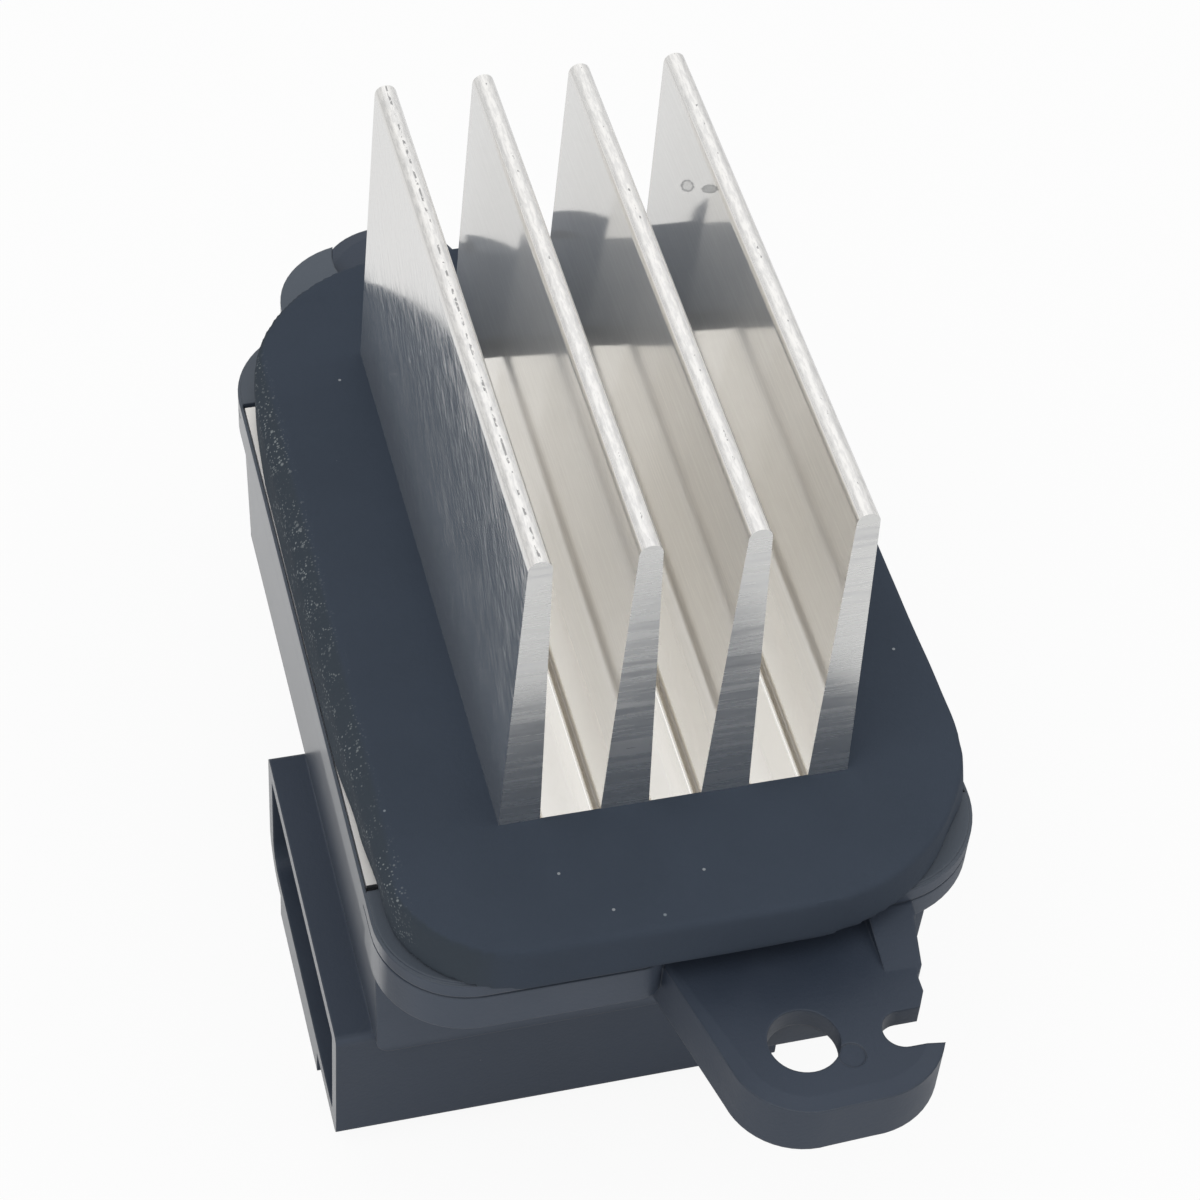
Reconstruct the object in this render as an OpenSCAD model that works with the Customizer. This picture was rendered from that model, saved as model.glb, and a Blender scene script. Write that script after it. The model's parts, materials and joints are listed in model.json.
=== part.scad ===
// Blower motor resistor: a finned heat sink in a plastic housing, with a foam seal round the fins.
// Millimetres, +Z up along the fins. The origin lies midway between the two fixing holes,
// in the plane of the ears' top faces, which bear on the air duct.

/* [Heat sink] */
// Number of fins
fin_count = 4; // [3:1:4]
// Distance between the middles of neighbouring fins
fin_pitch = 9; // [8:0.25:10]
// Thickness of a fin at its rounded tip
fin_tip_t = 2; // [1.6:0.1:2.6]
// Thickness of a fin at the channel floor
fin_foot_t = 4.4; // [3.6:0.1:4.8]
// Thickness of the two outer fins at the channel floor, taken off their inner faces
outer_foot_t = 3.7; // [3.2:0.1:4.8]
// Height of the fins above the channel floor
fin_h = 34; // [20:1:45]
// Radius of the fillet at a fin's foot
fin_fillet = 0.6; // [0.3:0.1:1]
// Length of the extrusion along the fins
sink_l = 59.4; // [54:0.2:70]
// Width of the base plate across the fins
plate_w = 54.2; // [52:0.1:60]
// Thickness of the base plate's side wings
plate_t = 2; // [1.8:0.1:3]
// Height of the raised middle above the wings
pedestal_h = 4.1; // [3.5:0.1:6]

/* [Foam seal] */
// Thickness of the foam
seal_t = 5.4; // [4:0.2:8]
// How far the foam reaches past each end of the heat sink
seal_reach = 13.5; // [11:0.5:16]
// How far the foam's sides stay inside the plate's edges
seal_inset = 0.4; // [0.2:0.1:1]
// Radius of the foam's tight corners, at the front left and the rear right
seal_corner = 11.5; // [8:0.5:14]
// Radius of the foam's wide corners, at the front right and the rear left
seal_wide_corner = 18; // [12:0.5:20]
// Clearance between the foam and the fins
seal_gap = 0.15; // [0.1:0.05:0.5]

/* [Flange] */
// Height of the flange's top face above the ears
flange_rise = 3.3; // [2.8:0.1:5]
// Thickness of the flange under the plate's seat
flange_t = 2.3; // [1.8:0.1:3]
// How far the flange reaches past the heat sink at the front left
reach_left = 12.1; // [10.5:0.1:14]
// How far the flange reaches past the heat sink at the front right
reach_right = 10; // [8.5:0.1:10.4]
// How far the flange reaches past the heat sink at the rear
reach_rear = 10.8; // [9:0.1:12]
// Radius of the flange's tight corners, at the front left and the rear right
flange_corner = 8.2; // [6:0.2:9]
// Radius of the flange's wide corners, at the front right and the rear left
flange_wide_corner = 9.8; // [6:0.2:10]
// Thickness of the thin rim beside the plate
rim_t = 0.3; // [0.3:0.05:0.8]
// How far the flange's outermost edge stays below its top face
rim_drop = 0.2; // [0.1:0.05:0.5]
// Clearance between the plate's sides and the rim
plate_gap = 0.1; // [0.05:0.05:0.3]
// Clearance between the plate's ends and the end lips
end_gap = 0.6; // [0.2:0.1:1]
// Width of the parting groove round the flange's ends
groove_w = 0.25; // [0.15:0.05:0.4]
// Depth of the parting groove
groove_depth = 0.2; // [0.1:0.05:0.3]
// Depth of the skirt below the plate's seat
skirt_h = 4.4; // [3.6:0.1:7]
// Thickness of the skirt
skirt_t = 1.8; // [1.4:0.1:2.4]

/* [Fixing ears] */
// Diameter of a fixing hole
hole_d = 6.3; // [5:0.1:7]
// Distance of the front hole from the middle, across the fins
hole_x = 6.3; // [5:0.1:8]
// Distance of a fixing hole past the end of the heat sink
hole_reach = 21.1; // [20:0.1:23]
// Thickness of an ear
ear_t = 2.2; // [1.8:0.1:3]
// Depth of the skirt round an ear, below its top face
ear_skirt_h = 6; // [5.6:0.1:7]
// Radius of an ear's lobe round its hole
ear_r = 6.9; // [6:0.1:8]
// Radius of the hook's outer edge
hook_r = 7.4; // [6.8:0.1:7.8]
// Share of an ear's radii that the bevel round its top face takes
ear_bevel = 0.2; // [0.1:0.02:0.3]
// Height of that bevel
ear_bevel_h = 0.35; // [0.2:0.05:0.6]
// Depth of the rib behind a fixing hole, below the ear's top face
rib_h = 5.3; // [3.4:0.1:5.5]
// Thickness of the rib
rib_t = 1.4; // [1:0.1:2]
// Width of the open slot in the front ear
slot_w = 3.7; // [3.2:0.1:4.2]
// Diameter of the ejector pin's mark on the front ear
pin_mark_d = 2.4; // [1.6:0.1:3]
// Depth of the ejector pin's mark
pin_mark_depth = 0.15; // [0.1:0.05:0.3]
// Width of the gusset between flange and front ear
gusset_w = 4.2; // [3:0.1:5]
// Length of the gusset, past the flange
gusset_l = 6; // [4:0.1:7]
// Radius of the raised lobe on the rear ear
lobe_r = 8.9; // [8:0.1:9.4]
// Height of the raised lobe above the rear ear
lobe_h = 2.4; // [1:0.1:3]

/* [Box] */
// Thickness of the box's walls and floor
wall = 2; // [1.6:0.1:2.6]
// Depth of the box below the plate's seat
box_depth = 18.9; // [17:0.1:24]
// How far the box stays inside the flange on the left
box_inset_left = 0.4; // [0.2:0.1:1]
// How far the box stays inside the flange on the right
box_inset_right = 2.9; // [1:0.1:4]
// How far the box reaches past the front end of the heat sink
box_reach_front = 3.3; // [2:0.1:4]
// How far the box reaches past the rear end of the heat sink
box_reach_rear = 1.3; // [1:0.1:3]
// How far the box's side walls lean in towards its bottom
box_draft = 0.4; // [0.1:0.1:0.8]
// Radius of the box's lower edges
box_round = 1.5; // [0.5:0.1:2]
// Width of the seat under the plate's ends
seat_w = 1.2; // [0.8:0.1:2]

/* [Plug socket] */
// Outer width of the socket, along the fins
socket_w = 33.8; // [32:0.2:38]
// Outer height of the socket
socket_h = 15.4; // [13:0.2:18]
// Thickness of the socket's walls
socket_wall = 1.8; // [1.4:0.1:2.4]
// How far the socket's rim stands out of the left wall
socket_reach = 3.1; // [2:0.1:6]
// Depth of the socket
socket_depth = 22; // [18:0.5:26]
// How far the socket's front face lies behind the box's
socket_setback = 1.2; // [0.4:0.1:2]
// How far the socket's top lies above the box's underside
socket_lap = 1.2; // [0.8:0.1:1.6]
// Radius of the socket's lower rear corner
socket_round = 4.5; // [2:0.1:6]
// Radius of the socket's other corners
socket_edge = 0.8; // [0.5:0.1:1.4]
// Thickness of the wall that holds the terminals
terminal_wall = 2.4; // [2:0.1:3]
// Length of the well behind the terminals' wall
well_l = 16.6; // [14:0.2:18]
// Width of the catch under the socket
catch_w = 19; // [12:0.5:22]
// Height of the catch under the socket
catch_h = 3; // [1:0.1:4]
// Length of the catch under the socket
catch_l = 14; // [8:0.5:18]
// Distance of the catch's middle behind the socket's
catch_shift = 2; // [0:0.1:3]

/* [Terminals] */
// Width of a wide terminal
wide_blade_w = 6.3; // [4.8:0.1:6.6]
// Width of a narrow terminal
narrow_blade_w = 2.8; // [2:0.1:3.2]
// Thickness of a terminal
blade_t = 0.8; // [0.6:0.1:1]
// Gap between neighbouring terminals
blade_gap = 2.2; // [1.6:0.1:2.4]
// Distance of the terminals' tips inside the socket's rim
blade_setback = 4; // [2:0.2:8]
// Width of the tail that a terminal passes through the board
tail_w = 2; // [1.4:0.1:2]
// Height of a tail above the board
tail_h = 1.4; // [0.8:0.1:1.6]
// Clearance round a terminal in its wall
blade_fit = 0.03; // [0.01:0.01:0.1]

/* [Circuit board] */
// Thickness of the board
board_t = 1.6; // [1:0.1:2]
// Clear height between the board and the heat sink
board_drop = 8.8; // [8.6:0.1:10]
// Clearance between the board and what surrounds it
board_gap = 1; // [0.5:0.1:1.4]
// Radius of the posts that carry the board
post_r = 2.6; // [2.2:0.1:3]
// Distance of the posts from the board's edges
post_inset = 3.2; // [3:0.1:4]
// Clearance of wires and tails in the board's holes
board_fit = 0.1; // [0.05:0.05:0.2]

/* [Screws] */
// Diameter of the heat sink's screws
sink_screw_d = 3; // [2.5:0.1:3.4]
// Diameter of their countersunk heads
sink_head_d = 5.6; // [5:0.1:6]
// Length of the heat sink's screws
sink_screw_l = 10; // [8:0.5:12]
// Radius of the bosses that take the heat sink's screws
boss_r = 3.2; // [2.8:0.1:3.6]
// Diameter of the board's screws
board_screw_d = 2.2; // [1.8:0.1:2.4]
// Diameter of the board screws' heads
board_head_d = 4.4; // [3.8:0.1:5]
// Height of the board screws' heads
board_head_h = 1.6; // [1:0.1:2]
// Length of the board's screws below the board
board_screw_l = 4.5; // [3:0.5:5]
// Clearance of a screw in the hole that it cuts its thread in
thread_gap = 0.05; // [0.02:0.01:0.1]
// Clearance of a screw in a plain hole
screw_gap = 0.2; // [0.1:0.05:0.3]

/* [Power transistor] */
// Width of the transistor
transistor_w = 15.9; // [14:0.1:16.4]
// Length of the transistor's body
transistor_l = 20.9; // [18:0.1:21.5]
// Thickness of the transistor
transistor_t = 5; // [4.4:0.1:5.2]
// Distance between the transistor's wires
wire_pitch = 5.45; // [5:0.05:5.6]
// Width of a wire
wire_w = 1.2; // [1:0.1:1.4]
// Thickness of a wire
wire_t = 0.6; // [0.4:0.1:0.8]
// Reach of the wires before they turn down
wire_reach = 3; // [2.5:0.1:4]
// Thickness of the insulating pad
pad_t = 0.3; // [0.2:0.05:0.5]
// Margin of the pad round the transistor
pad_margin = 1; // [0.5:0.1:2]
// Diameter of the transistor's screw
transistor_screw_d = 3; // [2.5:0.1:3.2]
// Diameter of its head
transistor_head_d = 5.5; // [5:0.1:6]
// Height of its head
transistor_head_h = 2; // [1.6:0.1:2.4]
// Depth of its threaded hole in the heat sink
tap_depth = 5; // [3.5:0.1:5]

/* [Small parts] */
// Diameter of the filter capacitor
can_d = 6.3; // [5:0.1:7]
// Length of the filter capacitor
can_l = 11; // [8:0.5:12]
// Length of the shunt
shunt_l = 13; // [10:0.5:14]
// Width of the shunt
shunt_w = 3; // [2:0.1:4]
// Height of the shunt above the board
shunt_h = 2.6; // [2:0.1:4]
// Length of the control chip
chip_l = 8.7; // [5:0.1:10]
// Width of the control chip
chip_w = 3.9; // [3:0.1:4.4]
// Height of the control chip
chip_h = 1.6; // [1.2:0.1:2]
// Length of the surge diode
diode_l = 6.8; // [5:0.1:7]
// Width of the surge diode
diode_w = 5.6; // [4:0.1:5.8]
// Height of the surge diode
diode_h = 2.3; // [1.8:0.1:2.6]
// Length of a chip resistor or chip capacitor
smd_l = 3.2; // [2:0.1:3.4]
// Width of a chip resistor or chip capacitor
smd_w = 1.6; // [1.2:0.1:1.8]
// Height of a chip resistor
smd_h = 0.6; // [0.4:0.1:1.2]

/* [Hidden] */
$fn = 64;
hull_fn = 32;
// Overlap that makes cuts and joins clean
eps = 0.01;
// Step that keeps the ears' bevel clear of their round sides
bevel_step = 0.06;
// How far a belt's straight runs stay inside its discs, so that they cross and don't graze
belt_slack = 0.02;

// Levels, from the ears' top faces at zero
z_top = flange_rise;
z_seat = z_top - plate_t;
z_under = z_seat - flange_t;
z_floor = z_top + pedestal_h;
z_tip = z_floor + fin_h;
z_box = z_seat - box_depth;
z_box_floor = z_box + wall;
z_board = z_seat - board_drop;
z_socket_top = z_box + socket_lap;
z_socket = z_socket_top - socket_h;
z_blade = z_socket + socket_h / 2;

// Places across the fins
fins_x = [for (i = [0 : fin_count - 1]) (i - (fin_count - 1) / 2) * fin_pitch];
pedestal_x = max(fins_x) + fin_foot_t / 2;
flange_x = plate_w / 2 + plate_gap + rim_t;
seal_x = plate_w / 2 - seal_inset;
box_x0 = -flange_x + box_inset_left;
box_x1 = flange_x - box_inset_right;
socket_x = box_x0 - socket_reach;
terminal_x = socket_x + socket_depth;
well_x0 = terminal_x + terminal_wall;
well_x1 = well_x0 + well_l;
sink_screw_x = (pedestal_x + plate_w / 2) / 2;

// Places along the fins
y_end = sink_l / 2;
box_y0 = -y_end - box_reach_front;
box_y1 = y_end + box_reach_rear;
cavity_y = y_end - seat_w;
socket_y0 = box_y0 + socket_setback;
socket_y1 = socket_y0 + socket_w;
blade_mid_y = (socket_y0 + socket_y1) / 2;
catch_y = blade_mid_y + catch_shift;
sink_screw_y = cavity_y - boss_r - board_gap / 2;
hole_y = -y_end - hole_reach;

// Ears, both drawn at the front; the rear one is then turned half round
root_r = 2.2;
root_y = -y_end - reach_right + root_r;
root_left = [hole_x - ear_r - 1.3, root_y, root_r];
hook_at = [hole_x + 5.2, hole_y + 0.7];
hook_root_x = hole_x + ear_r + 4;
// Discs that shape the front ear: its root under the flange, the lobe round the hole and the hook
front_ear = [
    root_left,
    [hole_x, hole_y, ear_r],
    [hook_at.x, hook_at.y, hook_r],
    [hook_root_x, root_y, root_r]
];
slot_at = [hole_x + 8.7, hole_y - 0.55];
slot_reach = 2 * ear_r;
// Outer edge of the neck between the slot and the flange, from the slot's middle
neck_edge = [[2.1, slot_w / 2], [2.9, 3.4], [2.9, 5], [3.6, 6], [4.2, 10.5]];
pin_mark_at = [hole_x + 3.6, hole_y - 2.2];
// The rib behind a hole ends short of the slot
rib_gap = 0.3;
rib_y = hole_y + hole_d / 2 + rib_gap;
rib_x1 = slot_at.x - slot_w / 2 - rib_gap;
// Discs that shape the rear ear, with the raised lobe beside its hole
rear_lobe_at = [hole_x + 1.7, hole_y + 0.8];
rear_lobe_r = ear_r + 0.5;
lobe_at = [hole_x + 5.7, hole_y + 7.2];
rear_ear = [
    root_left,
    [rear_lobe_at.x, rear_lobe_at.y, rear_lobe_r],
    [lobe_at.x, lobe_at.y, lobe_r],
    [lobe_at.x + lobe_r - root_r, root_y, root_r]
];
// How far the spot face in the raised lobe stays inside the rear ear's edge
spot_inset = 1;
// The flange's left front ends at the front ear
flange_step_r = skirt_t + 0.6;
flange_step_x = hole_x - ear_r - flange_step_r;

// Circuit board, between the bosses and the ends of the cavity
board_x = sink_screw_x - boss_r - board_gap;
board_y = cavity_y - board_gap;
post_x = board_x - post_inset;
post_y = board_y - post_inset;

// Power transistor, with its screw on the heat sink's middle line
transistor_y1 = board_y - 2 * post_inset;
transistor_y0 = transistor_y1 - transistor_l;
transistor_y = (transistor_y0 + transistor_y1) / 2;
transistor_screw_y = transistor_y1 - transistor_l * 0.3;
z_transistor = z_seat - pad_t - transistor_t;
wire_y = transistor_y0 - wire_reach;
wires_x = [-wire_pitch, 0, wire_pitch];
// The terminals' risers stand midway between two of the wires
riser_x = -(wire_pitch + blade_t) / 2;
wire_z = z_transistor + transistor_t * 0.45;
wire_out = 1.2;

// Terminals: place along the fins and width of each
narrow_offset = (blade_gap + narrow_blade_w) / 2;
wide_offset = narrow_blade_w + 1.5 * blade_gap + wide_blade_w / 2;
ground_at = blade_mid_y - wide_offset;
supply_at = blade_mid_y - narrow_offset;
control_at = blade_mid_y + narrow_offset;
motor_at = blade_mid_y + wide_offset;
blades = [
    [ground_at, wide_blade_w],
    [supply_at, narrow_blade_w],
    [control_at, narrow_blade_w],
    [motor_at, wide_blade_w]
];

// Small parts on the board
part_gap = 0.8;
side_x = (transistor_w / 2 + board_x) / 2;
can_x = board_x - can_d / 2 - part_gap;
can_y0 = -post_y + board_head_d / 2 + part_gap;
can_y1 = can_y0 + can_l;
lead_d = 0.6;
lead_reach = 1.6;
leads_x = [-can_d / 5, can_d / 5];
shunt_x = -can_x;
shunt_y0 = can_y0;
shunt_t = 0.6;
chip_y = transistor_y0 + chip_l / 2 + part_gap;
diode_y = chip_y;
chip_pins = 7;
smd_pitch = smd_w + part_gap;
driver_l = 2.9;
driver_w = 1.4;
driver_h = 1;

// Tangent points of the straight run of a belt that goes round two discs [x, y, radius]
function belt_run(a, b) =
    let (t = atan2(b.y - a.y, b.x - a.x) - acos((a.z - b.z) / norm([b.x - a.x, b.y - a.y])))
    [[a.x + a.z * cos(t), a.y + a.z * sin(t)], [b.x + b.z * cos(t), b.y + b.z * sin(t)]];

// The same discs, each smaller by a margin
function shrink(discs, margin) = [for (d = discs) [d.x, d.y, d.z - margin]];

// Discs in the corners of a rectangle, from its low corner and turning left
function corner_discs(x0, x1, y0, y1, r) = [
    [x0 + r[0], y0 + r[0], r[0]],
    [x1 - r[1], y0 + r[1], r[1]],
    [x1 - r[2], y1 - r[2], r[2]],
    [x0 + r[3], y1 - r[3], r[3]]
];

// Outline of a belt laid round discs that are listed turning left
module belt(discs, slack = 0) {
    n = len(discs);
    runs = shrink(discs, slack);
    polygon([for (i = [0 : n - 1]) each belt_run(runs[i], runs[(i + 1) % n])]);
    for (d = discs)
        translate([d.x, d.y])
            circle(d.z);
}

// Prism between two levels
module slab(z0, z1) {
    translate([0, 0, z0])
        linear_extrude(z1 - z0)
            children();
}

// Prism along the fins, from an outline drawn in X and Z
module along_fins(y0, y1) {
    translate([0, y1, 0])
        rotate([90, 0, 0])
            linear_extrude(y1 - y0)
                children();
}

// Prism across the fins, from an outline drawn in Y and Z
module across_fins(x0, x1) {
    translate([x0, 0, 0])
        rotate([90, 0, 90])
            linear_extrude(x1 - x0)
                children();
}

// Box between two corners
module block(low, high) {
    translate(low)
        cube(high - low);
}

// Copies at the four corners of a rectangle
module at_corners(x, y) {
    for (sx = [-1, 1], sy = [-1, 1])
        translate([sx * x, sy * y, 0])
            children();
}

// How far a fin's foot reaches from its middle, to the left or to the right
function foot_left(i) = i == fin_count - 1 ? outer_foot_t - fin_foot_t / 2 : fin_foot_t / 2;
function foot_right(i) = i == 0 ? outer_foot_t - fin_foot_t / 2 : fin_foot_t / 2;

// Cross-section of one fin, with its full-round tip
module fin_profile(i) {
    tip_r = fin_tip_t / 2;
    polygon([
        [-foot_left(i), 0],
        [foot_right(i), 0],
        [tip_r, fin_h - tip_r],
        [-tip_r, fin_h - tip_r]
    ]);
    translate([0, fin_h - tip_r])
        circle(tip_r);
}

// Fillets on both sides of a channel floor
module channel_fillets(x0, x1) {
    for (side = [0, 1])
        translate([side == 0 ? x0 : x1, 0])
            mirror([side, 0])
                difference() {
                    translate([-eps, -eps])
                        square(fin_fillet + eps);
                    translate([fin_fillet, fin_fillet])
                        circle(fin_fillet);
                }
}

// Cross-section of the extrusion
module sink_profile() {
    translate([-plate_w / 2, z_seat])
        square([plate_w, plate_t]);
    translate([-pedestal_x, z_top - eps])
        square([2 * pedestal_x, pedestal_h + eps]);
    for (i = [0 : fin_count - 1])
        translate([fins_x[i], z_floor - eps])
            fin_profile(i);
    for (i = [0 : fin_count - 2])
        translate([0, z_floor])
            channel_fillets(fins_x[i] + foot_right(i), fins_x[i + 1] - foot_left(i + 1));
}

module heatsink() {
    color("#d5d6d4")
    difference() {
        along_fins(-y_end, y_end)
            sink_profile();
        at_corners(sink_screw_x, sink_screw_y) {
            slab(z_seat - 1, z_top + 1)
                circle(sink_screw_d / 2 + screw_gap);
            translate([0, 0, z_top])
                countersink(sink_head_d + 2 * screw_gap, sink_screw_d + 2 * screw_gap);
        }
        translate([0, transistor_screw_y, 0])
            slab(z_seat - 1, z_seat + tap_depth)
                circle(transistor_screw_d / 2 + thread_gap);
    }
}

// Cone of a countersunk head, with its rim in the plane z = 0
module countersink(head_d, shank_d) {
    depth = (head_d - shank_d) / 2;
    rotate_extrude()
        polygon([[0, eps], [head_d / 2, eps], [head_d / 2, 0], [shank_d / 2, -depth], [0, -depth]]);
}

module foam_seal() {
    color("#3f454d")
    slab(z_top, z_top + seal_t)
        difference() {
            belt(corner_discs(
                -seal_x, seal_x, -y_end - seal_reach, y_end + seal_reach,
                [seal_corner, seal_wide_corner, seal_corner, seal_wide_corner]
            ));
            square([2 * (pedestal_x + seal_gap), sink_l + 2 * seal_gap], center = true);
        }
}

// Outline of the flange. Its left front reaches further out than its right front.
module flange_outline(margin = 0) {
    tight = flange_corner - margin;
    wide = flange_wide_corner - margin;
    step = flange_step_r - margin;
    x0 = -flange_x + margin;
    y0 = -y_end - reach_right + margin;
    y0_left = -y_end - reach_left + margin;
    belt(corner_discs(x0, flange_x - margin, y0, y_end + reach_rear - margin, [tight, wide, tight, wide]));
    belt(corner_discs(x0, flange_step_x - margin, y0_left, 0, [tight, step, step, tight]));
}

// An ear's plate with its bevelled top edge, and the skirt below it
module ear(discs) {
    difference() {
        slab(-ear_skirt_h, -ear_bevel_h)
            belt(discs, belt_slack);
        slab(-ear_skirt_h - 1, -ear_t)
            belt(shrink(discs, skirt_t), belt_slack);
    }
    hull()
        for (d = discs)
            translate([d.x, d.y, -ear_bevel_h - eps])
                cylinder(ear_bevel_h + eps, d.z - bevel_step, d.z * (1 - ear_bevel), $fn = hull_fn);
    block([hole_x - ear_r, rib_y, -rib_h], [rib_x1, rib_y + rib_t, -ear_t + eps]);
}

// The hook slot of the front ear, the neck's outer edge and the gap in the skirt from the slot to the flange
module slot_cuts() {
    slab(-ear_skirt_h - 1, z_top)
        translate(slot_at) {
            circle(slot_w / 2);
            translate([0, -slot_w / 2])
                square([slot_reach, slot_w]);
            polygon(concat(neck_edge, [[slot_reach, neck_edge[4].y], [slot_reach, slot_w / 2]]));
        }
    block(
        [slot_at.x - slot_w / 2, slot_at.y - slot_w / 2, -ear_skirt_h - 1],
        [slot_at.x + slot_reach, root_y, -ear_t]
    );
}

// Wedge between the flange and the front ear's outer edge, which runs out in the ear's top face
module gusset() {
    x1 = hook_root_x + root_r;
    y0 = -y_end - reach_right;
    across_fins(x1 - gusset_w, x1)
        polygon([
            [y0 + root_r, -ear_t],
            [y0 - gusset_l, -ear_t],
            [y0 - gusset_l, -bevel_step],
            [y0, z_seat],
            [y0 + root_r, z_seat]
        ]);
}

// The skirt under the flange at its left front corner, and the same at the opposite corner
module flange_skirt() {
    slab(z_seat - skirt_h, z_under + eps)
        intersection() {
            difference() {
                flange_outline();
                flange_outline(skirt_t);
            }
            union() {
                translate([-flange_x, -y_end - reach_left])
                    square([flange_x + hole_x - ear_r, reach_left - box_reach_front + wall]);
                translate([ear_r - hole_x, box_y1 - wall])
                    square([flange_x + hole_x - ear_r, reach_rear - box_reach_rear + wall]);
            }
        }
}

// Cross-section of the box, with leaning sides and rounded lower edges
module box_profile() {
    r = box_round;
    low = z_box + r;
    high = z_seat - r;
    belt([
        [box_x0 + box_draft + r, low, r],
        [box_x1 - box_draft - r, low, r],
        [box_x1 - r, high, r],
        [box_x0 + r, high, r]
    ], belt_slack);
}

// Cross-section of the socket's outside, or of its inside by a margin
module socket_profile(margin = 0) {
    edge = max(socket_edge - margin, 0.4);
    belt(corner_discs(
        socket_y0 + margin, socket_y1 - margin, z_socket + margin, z_socket_top - margin,
        [edge, max(socket_round - margin, edge), edge, edge]
    ));
}

// The housing's outside, before it is hollowed
module housing_body() {
    slab(z_under, z_top)
        flange_outline();
    flange_skirt();
    along_fins(box_y0, box_y1)
        box_profile();
    across_fins(socket_x, well_x1 + socket_wall)
        socket_profile();
    difference() {
        union() {
            ear(front_ear);
            gusset();
        }
        slot_cuts();
    }
    rotate(180) {
        ear(rear_ear);
        slab(-ear_t, lobe_h)
            difference() {
                translate(lobe_at)
                    circle(lobe_r);
                translate(rear_lobe_at)
                    circle(rear_lobe_r - spot_inset);
            }
    }
    block(
        [socket_x, catch_y - catch_w / 2, z_socket - catch_h],
        [socket_x + catch_l, catch_y + catch_w / 2, z_socket + eps]
    );
}

// What is taken out of the housing: the plate's place, the flange's outermost edge, the parting groove,
// the box, the well and the socket
module housing_hollows() {
    block(
        [-flange_x + rim_t, -y_end - end_gap, z_seat],
        [flange_x - rim_t, y_end + end_gap, z_top + 1]
    );
    slab(z_top - rim_drop, z_top + 1)
        difference() {
            flange_outline(-1);
            flange_outline(rim_t);
        }
    slab(z_seat, z_seat + groove_w)
        difference() {
            flange_outline(-1);
            flange_outline(groove_depth);
            square([2 * flange_x + 3, sink_l + 2 * end_gap], center = true);
        }
    block(
        [box_x0 + box_draft + wall, -cavity_y, z_box_floor],
        [box_x1 - box_draft - wall, cavity_y, z_seat + 1]
    );
    across_fins(socket_x - 1, terminal_x)
        socket_profile(socket_wall);
    block(
        [well_x0, socket_y0 + socket_wall, z_socket + socket_wall],
        [well_x1, socket_y1 - socket_wall, z_box_floor + eps]
    );
}

// Bosses for the heat sink's screws and posts for the board, on the box's floor
module bosses() {
    at_corners(sink_screw_x, sink_screw_y)
        slab(z_box_floor - eps, z_seat)
            circle(boss_r);
    at_corners(post_x, post_y)
        slab(z_box_floor - eps, z_board - board_t)
            circle(post_r);
}

module housing() {
    color("#3a4047")
    difference() {
        union() {
            difference() {
                housing_body();
                housing_hollows();
            }
            bosses();
        }
        at_corners(sink_screw_x, sink_screw_y)
            slab(z_top - sink_screw_l - 1, z_seat + 1)
                circle(sink_screw_d / 2 + thread_gap);
        at_corners(post_x, post_y)
            slab(z_board - board_t - board_screw_l - 0.5, z_board)
                circle(board_screw_d / 2 + thread_gap);
        for (turn = [0, 180])
            rotate(turn)
                slab(-ear_skirt_h - 1, 1)
                    translate([hole_x, hole_y])
                        circle(hole_d / 2);
        slab(-pin_mark_depth, 1)
            translate(pin_mark_at)
                circle(pin_mark_d / 2);
        for (b = blades)
            block(
                [terminal_x - 1, b[0] - b[1] / 2 - blade_fit, z_blade - blade_t / 2 - blade_fit],
                [well_x0 + 1, b[0] + b[1] / 2 + blade_fit, z_blade + blade_t / 2 + blade_fit]
            );
    }
}

module circuit_board() {
    color("#2f6b3f")
    difference() {
        block([-board_x, -board_y, z_board - board_t], [board_x, board_y, z_board]);
        at_corners(post_x, post_y)
            slab(z_board - board_t - 1, z_board + 1)
                circle(board_screw_d / 2 + screw_gap);
        for (b = blades)
            block(
                [riser_x - board_fit, b[0] - tail_w / 2 - board_fit, z_board - board_t - 1],
                [riser_x + blade_t + board_fit, b[0] + tail_w / 2 + board_fit, z_board + 1]
            );
        for (x = wires_x)
            block(
                [x - wire_w / 2 - board_fit, wire_y - wire_t - board_fit, z_board - board_t - 1],
                [x + wire_w / 2 + board_fit, wire_y + board_fit, z_board + 1]
            );
        for (x = leads_x)
            translate([can_x + x, can_y1 + lead_reach, 0])
                slab(z_board - board_t - 1, z_board + 1)
                    circle(lead_d / 2 + board_fit);
    }
}

// The transistor: its moulded body, with the corners cut at the screw's end, and three wires that turn down
module power_transistor() {
    cut = 2.4;
    color("#2a2b2d")
    difference() {
        union() {
            slab(z_transistor, z_transistor + transistor_t)
                polygon([
                    [-transistor_w / 2, transistor_y0],
                    [transistor_w / 2, transistor_y0],
                    [transistor_w / 2, transistor_y1 - cut],
                    [transistor_w / 2 - cut, transistor_y1],
                    [cut - transistor_w / 2, transistor_y1],
                    [-transistor_w / 2, transistor_y1 - cut]
                ]);
            for (x = wires_x) {
                block(
                    [x - wire_w / 2, wire_y - wire_t, wire_z],
                    [x + wire_w / 2, transistor_y0 + eps, wire_z + wire_t]
                );
                block(
                    [x - wire_w / 2, wire_y - wire_t, z_board - board_t - wire_out],
                    [x + wire_w / 2, wire_y, wire_z + eps]
                );
            }
        }
        translate([0, transistor_screw_y, 0])
            slab(z_transistor - 1, z_seat)
                circle(transistor_screw_d / 2 + screw_gap);
    }
}

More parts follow.
